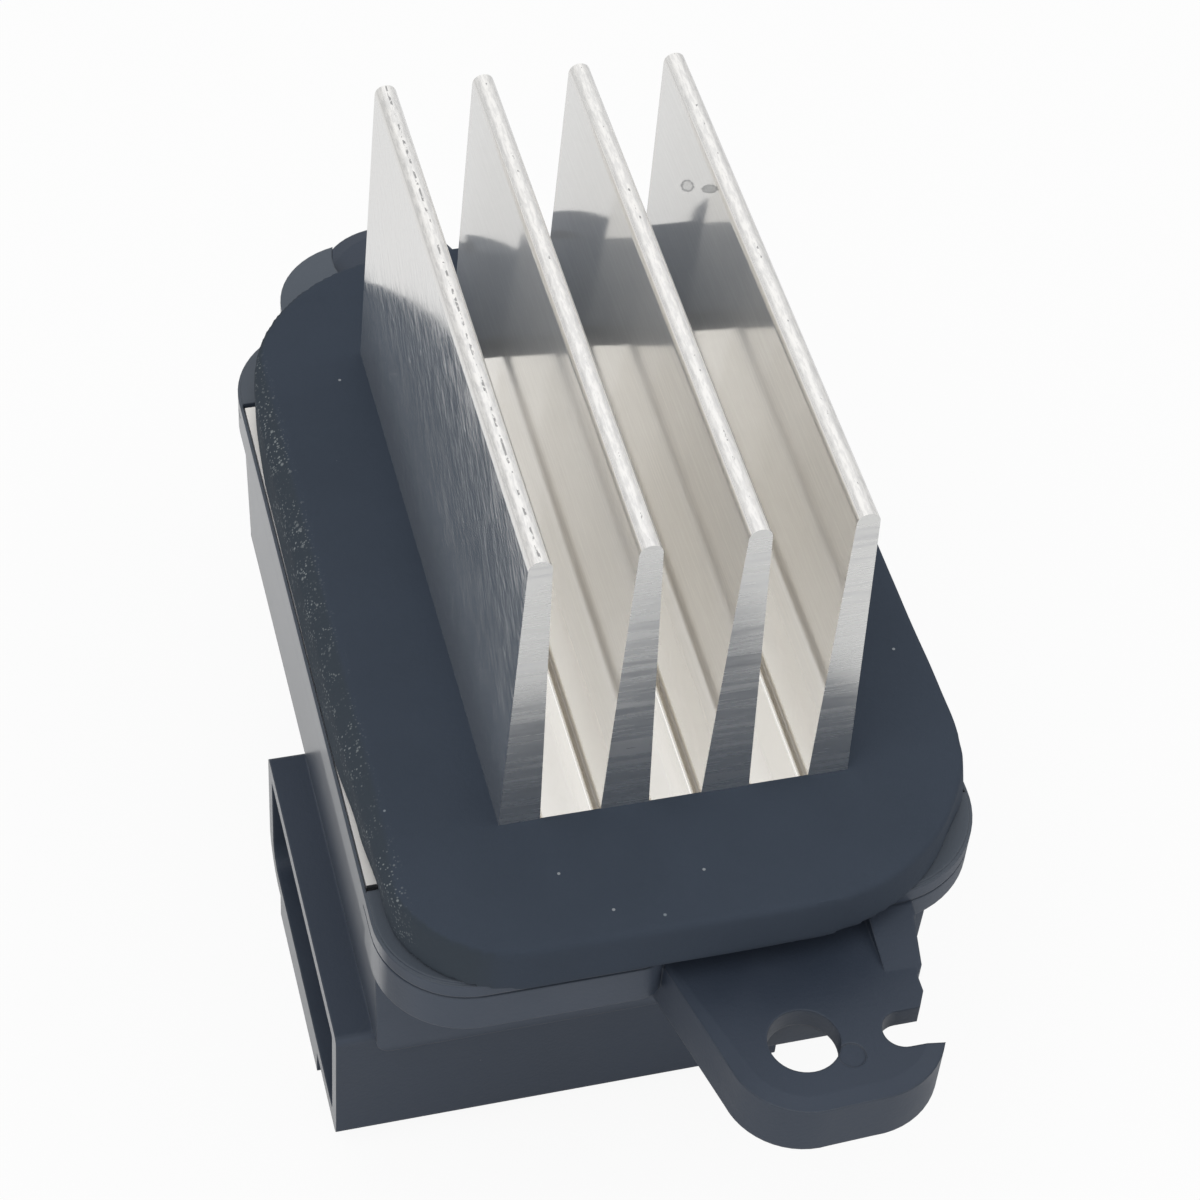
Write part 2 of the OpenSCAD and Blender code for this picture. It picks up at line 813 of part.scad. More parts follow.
module insulating_pad() {
    color("#b9c0c6")
    slab(z_seat - pad_t, z_seat)
        difference() {
            translate([-transistor_w / 2 - pad_margin, transistor_y0 - pad_margin])
                square([transistor_w + 2 * pad_margin, transistor_l + 2 * pad_margin]);
            translate([0, transistor_screw_y])
                circle(transistor_screw_d / 2 + screw_gap);
        }
}

// A pan-head screw that points up, with its head's bearing face at z = 0
module pan_screw(d, length, head_d, head_h) {
    slab(-eps, length)
        circle(d / 2);
    difference() {
        slab(-head_h, 0)
            circle(head_d / 2);
        slab(-head_h - 1, -head_h / 2)
            circle(d / 2, $fn = 6);
    }
}

module transistor_screw() {
    color("#aeb2b5")
    translate([0, transistor_screw_y, z_transistor])
        pan_screw(
            transistor_screw_d, transistor_t + pad_t + tap_depth - 0.5, transistor_head_d, transistor_head_h
        );
}

module heatsink_screws() {
    recess_d = sink_screw_d * 0.7;
    color("#aeb2b5")
    at_corners(sink_screw_x, sink_screw_y)
        difference() {
            union() {
                translate([0, 0, z_top - screw_gap])
                    countersink(sink_head_d, sink_screw_d);
                slab(z_top - sink_screw_l, z_top - screw_gap)
                    circle(sink_screw_d / 2);
            }
            slab(z_top - plate_t / 2, z_top + 1)
                circle(recess_d / 2, $fn = 6);
        }
}

module board_screws() {
    color("#aeb2b5")
    at_corners(post_x, post_y)
        translate([0, 0, z_board])
            mirror([0, 0, 1])
                pan_screw(board_screw_d, board_t + board_screw_l, board_head_d, board_head_h);
}

// A terminal: a blade with a bevelled tip, a riser and a tail through the board
module blade(at, width) {
    tip_x = socket_x + blade_setback;
    bevel = blade_t;
    z_shoulder = z_board - board_t - blade_t;
    color("#c9b17a")
    union() {
        slab(z_blade - blade_t / 2, z_blade + blade_t / 2)
            polygon([
                [tip_x, at - width / 2 + bevel],
                [tip_x + bevel, at - width / 2],
                [riser_x + blade_t, at - width / 2],
                [riser_x + blade_t, at + width / 2],
                [tip_x + bevel, at + width / 2],
                [tip_x, at + width / 2 - bevel]
            ]);
        block([riser_x, at - width / 2, z_blade], [riser_x + blade_t, at + width / 2, z_shoulder]);
        block(
            [riser_x, at - tail_w / 2, z_shoulder - eps],
            [riser_x + blade_t, at + tail_w / 2, z_board + tail_h]
        );
    }
}

module ground_blade() {
    blade(ground_at, wide_blade_w);
}

module motor_blade() {
    blade(motor_at, wide_blade_w);
}

module supply_blade() {
    blade(supply_at, narrow_blade_w);
}

module control_blade() {
    blade(control_at, narrow_blade_w);
}

// The control chip, with a row of pins down each side
module control_chip() {
    pin_pitch = chip_l / chip_pins;
    pin_w = pin_pitch * 0.35;
    pin_out = 1.05;
    lift = 0.15;
    color("#26282a")
    translate([-side_x, chip_y, z_board]) {
        block([-chip_w / 2, -chip_l / 2, lift], [chip_w / 2, chip_l / 2, chip_h]);
        for (i = [0 : chip_pins - 1], side = [-1, 1])
            translate([side * (chip_w + pin_out) / 2, (i - (chip_pins - 1) / 2) * pin_pitch, chip_h / 4])
                cube([pin_out + eps, pin_w, chip_h / 2], center = true);
    }
}

// The filter capacitor lies on the board, with its two leads turned down
module filter_capacitor() {
    bead_h = can_d * 0.06;
    z_can = z_board + can_d / 2;
    color("#3c4a6b")
    union() {
        translate([can_x, can_y1, z_can])
            rotate([90, 0, 0])
                rotate_extrude()
                    polygon([
                        [0, 0],
                        [can_d / 2 - bead_h, 0],
                        [can_d / 2, bead_h],
                        [can_d / 2, can_l * 0.12],
                        [can_d / 2 - bead_h, can_l * 0.16],
                        [can_d / 2, can_l * 0.2],
                        [can_d / 2, can_l - bead_h],
                        [can_d / 2 - bead_h, can_l],
                        [0, can_l]
                    ]);
        for (x = leads_x)
            translate([can_x + x, 0, 0]) {
                translate([0, can_y1 + lead_reach, z_can])
                    rotate([90, 0, 0])
                        cylinder(d = lead_d, h = lead_reach + eps);
                translate([0, can_y1 + lead_reach, 0])
                    slab(z_board - board_t - wire_out, z_can)
                        circle(lead_d / 2);
                translate([0, can_y1 + lead_reach, z_can])
                    sphere(d = lead_d);
            }
    }
}

// The shunt is a bent strip that bridges two pads
module sense_shunt() {
    foot = shunt_w * 0.8;
    color("#a9826a")
    translate([shunt_x, shunt_y0, z_board])
        across_fins(-shunt_w / 2, shunt_w / 2)
            polygon([
                [0, 0],
                [foot, 0],
                [foot, shunt_h - shunt_t],
                [shunt_l - foot, shunt_h - shunt_t],
                [shunt_l - foot, 0],
                [shunt_l, 0],
                [shunt_l, shunt_t],
                [shunt_l - foot + shunt_t, shunt_t],
                [shunt_l - foot + shunt_t, shunt_h],
                [foot - shunt_t, shunt_h],
                [foot - shunt_t, shunt_t],
                [0, shunt_t]
            ]);
}

module surge_diode() {
    foot_l = 0.8;
    foot_w = diode_w * 0.5;
    color("#2b2d30")
    translate([side_x, diode_y, z_board]) {
        block([-diode_w / 2, foot_l - diode_l / 2, 0], [diode_w / 2, diode_l / 2 - foot_l, diode_h]);
        for (side = [-1, 1])
            translate([0, side * (diode_l - foot_l) / 2, diode_h / 4])
                cube([foot_w, foot_l + 2 * eps, diode_h / 2], center = true);
    }
}

// Two small transistors that drive the large one
module driver_transistors() {
    leg = 0.5;
    color("#2b2d30")
    for (side = [-1, 1])
        translate([side * side_x, chip_y + chip_l / 2 + part_gap + driver_l, z_board]) {
            block([-driver_w / 2, -driver_l / 2, 0], [driver_w / 2, driver_l / 2, driver_h]);
            translate([side * driver_w / 2, 0, leg / 4])
                cube([2 * leg, leg, leg / 2], center = true);
            for (end = [-1, 1])
                translate([-side * driver_w / 2, end * driver_l / 3, leg / 4])
                    cube([2 * leg, leg, leg / 2], center = true);
        }
}

// A row of chip parts on the board under the transistor
module chip_row(x, count, height) {
    for (i = [0 : count - 1])
        translate([x, transistor_y + (i - (count - 1) / 2) * smd_pitch, z_board + height / 2])
            cube([smd_l, smd_w, height], center = true);
}

module chip_resistors() {
    color("#25272b")
    chip_row(-transistor_w / 4, 3, smd_h);
}

module chip_capacitors() {
    color("#b08d63")
    chip_row(transistor_w / 4, 3, smd_h * 1.5);
}

heatsink();
foam_seal();
housing();
circuit_board();
power_transistor();
insulating_pad();
transistor_screw();
heatsink_screws();
board_screws();
ground_blade();
motor_blade();
supply_blade();
control_blade();
control_chip();
filter_capacitor();
sense_shunt();
surge_diode();
driver_transistors();
chip_resistors();
chip_capacitors();
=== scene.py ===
"""Looks of a blower motor resistor: bright extruded fins, a foam seal and a black moulded housing."""

import json
import logging
import math
from dataclasses import dataclass
from enum import Enum
from functools import reduce
from typing import Callable, Union

import bpy
from mathutils import Euler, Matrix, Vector


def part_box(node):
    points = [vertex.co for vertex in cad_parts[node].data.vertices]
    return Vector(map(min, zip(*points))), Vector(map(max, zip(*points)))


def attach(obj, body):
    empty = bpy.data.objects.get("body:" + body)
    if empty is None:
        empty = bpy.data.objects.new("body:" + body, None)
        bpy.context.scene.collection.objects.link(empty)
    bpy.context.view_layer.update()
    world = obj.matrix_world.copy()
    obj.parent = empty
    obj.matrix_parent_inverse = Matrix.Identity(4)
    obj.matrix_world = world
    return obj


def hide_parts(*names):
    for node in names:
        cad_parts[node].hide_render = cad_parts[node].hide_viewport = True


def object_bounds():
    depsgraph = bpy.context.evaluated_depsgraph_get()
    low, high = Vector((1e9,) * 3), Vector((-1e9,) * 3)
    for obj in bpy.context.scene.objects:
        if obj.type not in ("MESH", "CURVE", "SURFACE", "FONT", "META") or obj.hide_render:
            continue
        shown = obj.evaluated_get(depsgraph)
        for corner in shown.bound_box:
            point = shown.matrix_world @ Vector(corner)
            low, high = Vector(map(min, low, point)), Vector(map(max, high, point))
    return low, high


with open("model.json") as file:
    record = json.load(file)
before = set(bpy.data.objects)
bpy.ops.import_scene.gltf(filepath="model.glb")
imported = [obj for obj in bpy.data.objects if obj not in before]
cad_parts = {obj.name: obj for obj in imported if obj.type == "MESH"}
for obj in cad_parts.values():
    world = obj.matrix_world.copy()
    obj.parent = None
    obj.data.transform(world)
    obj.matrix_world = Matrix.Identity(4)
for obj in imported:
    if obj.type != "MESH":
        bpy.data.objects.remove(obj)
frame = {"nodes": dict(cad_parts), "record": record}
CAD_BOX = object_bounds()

LOG = logging.getLogger("blower_resistor")
MM = 0.001
BODY = "root"

Pair = tuple[float, float]
Points = tuple[Pair, ...]
Triple = tuple[float, float, float]
Socket = bpy.types.NodeSocket
Value = Union[Socket, float, Triple]
Inputs = dict[str | int, Value]

ZEROS: Triple = (0.0, 0.0, 0.0)
ONES: Triple = (1.0, 1.0, 1.0)
NOISE_MEAN = 0.5


class Slot(Enum):
    """The record's material slots."""

    ALUMINIUM = "aluminium"
    FOAM = "foam"
    PLASTIC = "black_plastic"
    BOARD = "board"
    COMPONENT = "component"
    PAD = "pad"
    SCREW = "screw_steel"
    TERMINAL = "terminal"
    CAN = "capacitor_can"
    SHUNT = "shunt_alloy"
    CERAMIC = "ceramic"


def clear_tree(owner: bpy.types.Material | bpy.types.World) -> bpy.types.NodeTree:
    """Gives a material or a world an empty node tree.

    Args:
        owner: The material or the world.

    Returns:
        The tree.
    """
    owner.use_nodes = True
    owner.node_tree.nodes.clear()
    return owner.node_tree


class Shade:
    """Places and joins the nodes of one tree."""

    BLEND_INPUTS = (0, 6, 7)
    BLEND_OUTPUT = 2

    def __init__(self, tree: bpy.types.NodeTree) -> None:
        """Takes a material's, a world's or a group's tree."""
        self.tree = tree

    def add(self, kind: str, inputs: Inputs | None = None, **settings: object) -> bpy.types.Node:
        """Adds a node, sets its properties and feeds its inputs.

        Args:
            kind: The node's type, such as ShaderNodeMath.
            inputs: A value or another node's output for each input, by name or number.
            settings: The node's own properties.

        Returns:
            The new node.
        """
        node = self.tree.nodes.new(kind)
        for name, value in settings.items():
            setattr(node, name, value)
        self.wire(node, inputs or {})
        return node

    def wire(self, node: bpy.types.Node, inputs: Inputs) -> None:
        """Feeds several inputs of a node, by name or number."""
        for key, value in inputs.items():
            self.feed(node.inputs[key], value)

    def feed(self, target: Socket, value: Value) -> None:
        """Links a socket to an input, or sets the input's own value.

        Args:
            target: The input socket.
            value: Another socket, a number, a vector or a colour.
        """
        if isinstance(value, bpy.types.NodeSocket):
            self.tree.links.new(value, target)
        elif target.type == "RGBA" and len(value) == 3:
            target.default_value = (*value, 1.0)
        else:
            target.default_value = value

    def math(self, operation: str, first: Value, second: Value = 0.0, clamp: bool = False) -> Socket:
        """Works out an operation, by Blender's name for it, on one or two values."""
        node = self.add("ShaderNodeMath", {0: first, 1: second}, operation=operation, use_clamp=clamp)
        return node.outputs[0]

    def times(self, *values: Value) -> Socket:
        """Multiplies two or more values."""
        return reduce(lambda product, value: self.math("MULTIPLY", product, value), values)

    def plus(self, first: Value, second: Value) -> Socket:
        """Adds two values."""
        return self.math("ADD", first, second)

    def other(self, mask: Socket) -> Socket:
        """Turns a mask round, so that one becomes nought."""
        return self.math("SUBTRACT", 1.0, mask)

    def span(
        self, value: Value, low: Value, high: Value, to_low: Value = 0.0, to_high: Value = 1.0
    ) -> Socket:
        """Maps a value smoothly from one range to another."""
        node = self.add(
            "ShaderNodeMapRange",
            {"Value": value, "From Min": low, "From Max": high, "To Min": to_low, "To Max": to_high},
            interpolation_type="SMOOTHSTEP",
        )
        return node.outputs["Result"]

    def about(self, value: Socket, middle: Value, reach: Value) -> Socket:
        """Maps a value smoothly to 0 and 1 at either side of a middle."""
        return self.span(value, self.math("SUBTRACT", middle, reach), self.plus(middle, reach))

    def blend(self, factor: Value, first: Value, second: Value) -> Socket:
        """Mixes two colours, with the factor as the second one's share."""
        inputs = dict(zip(self.BLEND_INPUTS, (factor, first, second)))
        return self.add("ShaderNodeMix", inputs, data_type="RGBA").outputs[self.BLEND_OUTPUT]

    def mix(self, factor: Value, first: Value, second: Value) -> Socket:
        """Mixes two numbers, with the factor as the second one's share."""
        return self.plus(first, self.times(factor, self.math("SUBTRACT", second, first)))

    def noise(self, vector: Socket, scale: Value, detail: float = 2.0, rough: float = 0.5) -> Socket:
        """Makes a soft noise of so many waves per metre, about NOISE_MEAN on average."""
        node = self.add(
            "ShaderNodeTexNoise", {"Vector": vector, "Scale": scale, "Detail": detail, "Roughness": rough}
        )
        return node.outputs["Fac"]

    def stretch(self, vector: Socket, factors: Value, turn: Triple = ZEROS) -> Socket:
        """Scales coordinates on each axis, then turns them, in radians."""
        node = self.add("ShaderNodeMapping", {"Vector": vector, "Scale": factors, "Rotation": turn})
        return node.outputs["Vector"]

    def local(self, vector: Socket, centre: Triple, radii: Triple, turn: Triple) -> Socket:
        """Moves coordinates so that a turned oval becomes a ball of radius one."""
        node = self.add(
            "ShaderNodeMapping",
            {"Vector": vector, "Location": centre, "Scale": radii, "Rotation": turn},
            vector_type="TEXTURE",
        )
        return node.outputs["Vector"]

    def length(self, vector: Socket) -> Socket:
        """Measures a vector."""
        return self.add("ShaderNodeVectorMath", {"Vector": vector}, operation="LENGTH").outputs["Value"]

    def axes(self, vector: Socket) -> tuple[Socket, Socket, Socket]:
        """Splits a vector into its X, Y and Z."""
        node = self.add("ShaderNodeSeparateXYZ", {"Vector": vector})
        return node.outputs["X"], node.outputs["Y"], node.outputs["Z"]


class Surface(Shade):
    """The nodes of one material, with its shader and its object coordinates."""

    def __init__(self, name: str) -> None:
        """Starts the material.

        Args:
            name: The material's name.
        """
        self.material = bpy.data.materials.new(name)
        super().__init__(clear_tree(self.material))
        self.place = self.add("ShaderNodeTexCoord").outputs["Object"]
        self.shader = self.add("ShaderNodeBsdfPrincipled")
        self.add("ShaderNodeOutputMaterial", {"Surface": self.shader.outputs["BSDF"]})

    def normal(self) -> Socket:
        """Reads the surface's own normal."""
        return self.add("ShaderNodeNewGeometry").outputs["Normal"]


class Effects:
    """Shader node groups that several finishes share, each built once."""

    LINE_NOISE: Pair = (3.0, 0.6)
    SPOT_CORE = 0.4
    BLOT_NOISE: Triple = (2.2, 3.0, 0.6)
    BLOT_RAGGED = 0.5
    BLOT_EDGE: Pair = (1.0, 0.85)
    BLOT_RIM: Pair = (0.5, 0.8)
    PATCH_NOISE: Pair = (4.0, 0.55)
    FINE_NOISE: Pair = (2.0, 0.6)
    BROAD_NOISE: Pair = (2.0, 0.5)
    BROAD_SCALE = 0.22
    _made: dict[str, bpy.types.NodeTree] = {}

    @classmethod
    def _group(cls, name: str, *labels: str) -> tuple[Shade, dict[str, Socket]]:
        """Starts a group with a vector input, number inputs and one number output.

        Args:
            name: The group's name.
            labels: The names of the number inputs.

        Returns:
            The group's shade and its inputs by name.
        """
        tree = bpy.data.node_groups.new(name, "ShaderNodeTree")
        tree.interface.new_socket("vector", in_out="INPUT", socket_type="NodeSocketVector")
        for label in labels:
            tree.interface.new_socket(label, in_out="INPUT", socket_type="NodeSocketFloat")
        tree.interface.new_socket("result", in_out="OUTPUT", socket_type="NodeSocketFloat")
        shade = Shade(tree)
        entry = shade.add("NodeGroupInput")
        cls._made[name] = tree
        return shade, {s.name: s for s in entry.outputs if s.name}

    @classmethod
    def place(cls, shade: Shade, name: str, vector: Socket, **values: Value) -> Socket:
        """Places a group in a material with its own values.

        Args:
            shade: The material's shade.
            name: The group's name, which is also the name of the method that builds it.
            vector: The coordinates that it reads.
            values: The group's number inputs.

        Returns:
            The group's output.
        """
        if name not in cls._made:
            getattr(cls, name)()
        node = shade.add("ShaderNodeGroup", node_tree=cls._made[name])
        shade.wire(node, {"vector": vector, **values})
        return node.outputs[0]

    @classmethod
    def streaks(cls) -> None:
        """Fine lines along the vector's Y axis, as an extrusion die leaves them."""
        shade, given = cls._group("streaks", "fineness", "length", "cut", "softness")
        x, y, z = shade.axes(given["vector"])
        drawn = shade.times(y, given["length"])
        flat = shade.add("ShaderNodeCombineXYZ", {"X": x, "Y": drawn, "Z": z}).outputs["Vector"]
        lines = shade.noise(flat, given["fineness"], *cls.LINE_NOISE)
        shade.add("NodeGroupOutput", {"result": shade.about(lines, given["cut"], given["softness"])})

    @classmethod
    def specks(cls) -> None:
        """Small scattered spots of uneven size."""
        shade, given = cls._group("specks", "scale", "share", "size")
        cells = shade.add(
            "ShaderNodeTexVoronoi", {"Vector": given["vector"], "Scale": given["scale"], "Randomness": 1.0}
        )
        lot, draw, _ = shade.axes(cells.outputs["Color"])
        chosen = shade.math("LESS_THAN", lot, given["share"])
        size = shade.times(given["size"], draw)
        spot = shade.span(cells.outputs["Distance"], size, shade.times(size, cls.SPOT_CORE))
        shade.add("NodeGroupOutput", {"result": shade.times(chosen, spot)})

    @classmethod
    def blot(cls) -> None:
        """A ragged spot round the vector's origin, strongest along its rim."""
        shade, given = cls._group("blot", "core")
        waver = shade.math("SUBTRACT", shade.noise(given["vector"], *cls.BLOT_NOISE), NOISE_MEAN)
        reach = shade.plus(shade.length(given["vector"]), shade.times(waver, cls.BLOT_RAGGED))
        inside = shade.span(reach, *cls.BLOT_EDGE)
        rim = shade.span(reach, *cls.BLOT_RIM, given["core"], 1.0)
        shade.add("NodeGroupOutput", {"result": shade.times(inside, rim)})

    @classmethod
    def patches(cls) -> None:
        """Broad soft patches, for colour and gloss that vary a little."""
        shade, given = cls._group("patches", "scale", "contrast")
        cloud = shade.noise(given["vector"], given["scale"], *cls.PATCH_NOISE)
        shade.add("NodeGroupOutput", {"result": shade.about(cloud, NOISE_MEAN, given["contrast"])})

    @classmethod
    def grain(cls) -> None:
        """The height of a fine even grain."""
        shade, given = cls._group("grain", "scale", "coarse")
        fine = shade.noise(given["vector"], given["scale"], *cls.FINE_NOISE)
        wide = shade.times(given["scale"], cls.BROAD_SCALE)
        broad = shade.noise(given["vector"], wide, *cls.BROAD_NOISE)
        total = shade.plus(fine, shade.times(broad, given["coarse"]))
        shade.add("NodeGroupOutput", {"result": total})


@dataclass(frozen=True)
class Streaks:
    """One set of fine lines: how fine, how short, how rare and how soft they are."""

    fineness: float
    length: float
    cut: float
    softness: float = 0.12

    def mask(self, on: Surface, place: Socket) -> Socket:
        """Draws the lines along the Y axis of some coordinates."""
        return Effects.place(on, "streaks", place, **vars(self))


@dataclass(frozen=True)
class Cloud:
    """A noise in coordinates that are stretched, then turned."""

    scale: float
    detail: float = 2.0
    rough: float = 0.5
    factors: Triple = ONES
    turn: Triple = ZEROS

    def read(self, on: Surface) -> Socket:
        """Makes the noise, about NOISE_MEAN on average."""
        return on.noise(on.stretch(on.place, self.factors, self.turn), self.scale, self.detail, self.rough)

    def swing(self, on: Surface) -> Socket:
        """Makes the noise, about nought on average."""
        return on.math("SUBTRACT", self.read(on), NOISE_MEAN)


@dataclass(frozen=True)
class Mark:
    """One stain or scuff: a ragged oval in the part's frame."""

    centre: Triple
    radii: Triple
    turn: Triple = ZEROS
    strength: float = 0.7
    core: float = 0.4

    @classmethod
    def dot(cls, centre: Triple, radius: float, strength: float) -> "Mark":
        """Makes a round mark that is as strong in its middle as at its rim."""
        return cls(centre, (radius, radius, radius), strength=strength, core=1.0)


@dataclass(frozen=True)
class Finish:
    """A surface with soft patches, a fine grain, scattered specks and single marks."""

    name: str
    base: Triple
    shifted: Triple
    roughness: float = 0.5
    roughness_swing: float = 0.12
    metallic: float = 0.0
    specular: float = 0.5
    specular_tint: Triple = ONES
    coat_roughness: float = 0.03
    coat_ior: float = 1.5
    sheen: float = 0.0
    sheen_tint: Triple = ONES
    grain_scale: float = 2500.0
    grain_coarse: float = 0.3
    grain_depth: float = 0.02 * MM
    patch_scale: float = 60.0
    patch_contrast: float = 0.25
    speck_colour: Triple = (0.3, 0.3, 0.3)
    speck_scale: float = 350.0
    speck_share: float = 0.06
    speck_size: float = 0.2
    mark_colour: Triple = (0.4, 0.4, 0.4)
    marks: tuple[Mark, ...] = ()

    def build(self) -> bpy.types.Material:
        """Makes the material.

        Returns:
            The finished material.
        """
        on = Surface(self.name)
        constants = {
            "Metallic": self.metallic,
            "Specular IOR Level": self.specular,
            "Specular Tint": self.specular_tint,
            "Coat Roughness": self.coat_roughness,
            "Coat IOR": self.coat_ior,
            "Sheen Weight": self.sheen,
            "Sheen Tint": self.sheen_tint,
        }
        on.wire(on.shader, constants)
        on.wire(on.shader, self._surface(on))
        return on.material

    def _surface(self, on: Surface) -> dict[str, Socket]:
        """Works out colour, roughness and relief.

        Args:
            on: The material's nodes.

        Returns:
            The shader's inputs by name.
        """
        patches, colour = self._ground(on)
        return {
            "Base Color": self._marked(on, self._speckled(on, on.place, colour)),
            "Roughness": self._uneven(on, patches),
            "Normal": self._relief(on, self._grain(on), self.grain_depth),
        }

    def _ground(self, on: Surface) -> tuple[Socket, Socket]:
        """Makes the patches' mask, and the colour that varies with them."""
        patches = Effects.place(
            on, "patches", on.place, scale=self.patch_scale, contrast=self.patch_contrast
        )
        return patches, on.blend(patches, self.base, self.shifted)

    def _grain(self, on: Surface) -> Socket:
        """Makes the height of the grain."""
        return Effects.place(on, "grain", on.place, scale=self.grain_scale, coarse=self.grain_coarse)

    def _speckled(self, on: Surface, place: Socket, colour: Socket) -> Socket:
        """Scatters the specks over a colour, in coordinates of their own."""
        specks = Effects.place(
            on, "specks", place, scale=self.speck_scale, share=self.speck_share, size=self.speck_size
        )
        return on.blend(specks, colour, self.speck_colour)

    def _marked(self, on: Surface, colour: Socket) -> Socket:
        """Lays the single marks on a colour.

        Args:
            on: The material's nodes.
            colour: The colour so far.

        Returns:
            The colour with the marks.
        """
        for mark in self.marks:
            oval = on.local(on.place, mark.centre, mark.radii, mark.turn)
            blot = Effects.place(on, "blot", oval, core=mark.core)
            colour = on.blend(on.times(blot, mark.strength), colour, self.mark_colour)
        return colour

    def _uneven(self, on: Surface, patches: Socket) -> Socket:
        """Makes the roughness swing with the patches."""
        half = self.roughness_swing / 2
        return on.span(patches, 0.0, 1.0, self.roughness - half, self.roughness + half)

    @staticmethod
    def _relief(on: Surface, height: Socket, depth: float, normal: Socket | None = None) -> Socket:
        """Turns a height into a normal.

        Args:
            on: The material's nodes.
            height: The height, from 0 to about 1.
            depth: What a height of one stands for, in metres.
            normal: The normal that it is laid on, if not the surface's own.

        Returns:
            The normal.
        """
        inputs: Inputs = {"Height": height, "Distance": depth, "Strength": 1.0}
        if normal:
            inputs["Normal"] = normal
        return on.add("ShaderNodeBump", inputs).outputs["Normal"]


@dataclass(frozen=True)
class FoamFinish(Finish):
    """Matte closed-cell foam, with bright torn cells on its cut left side."""

    side_facing: Pair = (-0.2, -0.5)
    side_colour: Triple = (0.046, 0.058, 0.073)
    cut_layers: tuple[Triple, ...] = ((3600.0, 0.95, 0.56), (1500.0, 0.55, 0.42))
    cut_colour: Triple = (0.24, 0.265, 0.275)
    cluster_scale: float = 420.0
    cluster_contrast: float = 0.12
    torn_aside: Pair = (-24.4 * MM, -26.0 * MM)
    torn_height: Pair = (4.0 * MM, 5.6 * MM)
    torn_share: Pair = (0.35, 1.0)

    def _surface(self, on: Surface) -> dict[str, Socket]:
        """Works out colour, roughness and relief.

        Args:
            on: The material's nodes.

        Returns:
            The shader's inputs by name.
        """
        inputs = super()._surface(on)
        side = on.span(on.axes(on.normal())[0], *self.side_facing)
        colour = on.blend(side, inputs["Base Color"], self.side_colour)
        inputs["Base Color"] = on.blend(self._torn(on), colour, self.cut_colour)
        return inputs

    def _torn(self, on: Surface) -> Socket:
        """Finds the torn cells.

        Args:
            on: The material's nodes.

        Returns:
            One on the cells and nought elsewhere.
        """
        x, _, z = on.axes(on.place)
        torn: Value = 0.0
        for scale, share, size in self.cut_layers:
            layer = Effects.place(on, "specks", on.place, scale=scale, share=share, size=size)
            torn = on.math("MAXIMUM", torn, layer)
        clusters = Effects.place(
            on, "patches", on.place, scale=self.cluster_scale, contrast=self.cluster_contrast
        )
        height = on.span(z, *self.torn_height, *self.torn_share)
        return on.times(torn, on.span(x, *self.torn_aside), clusters, height)


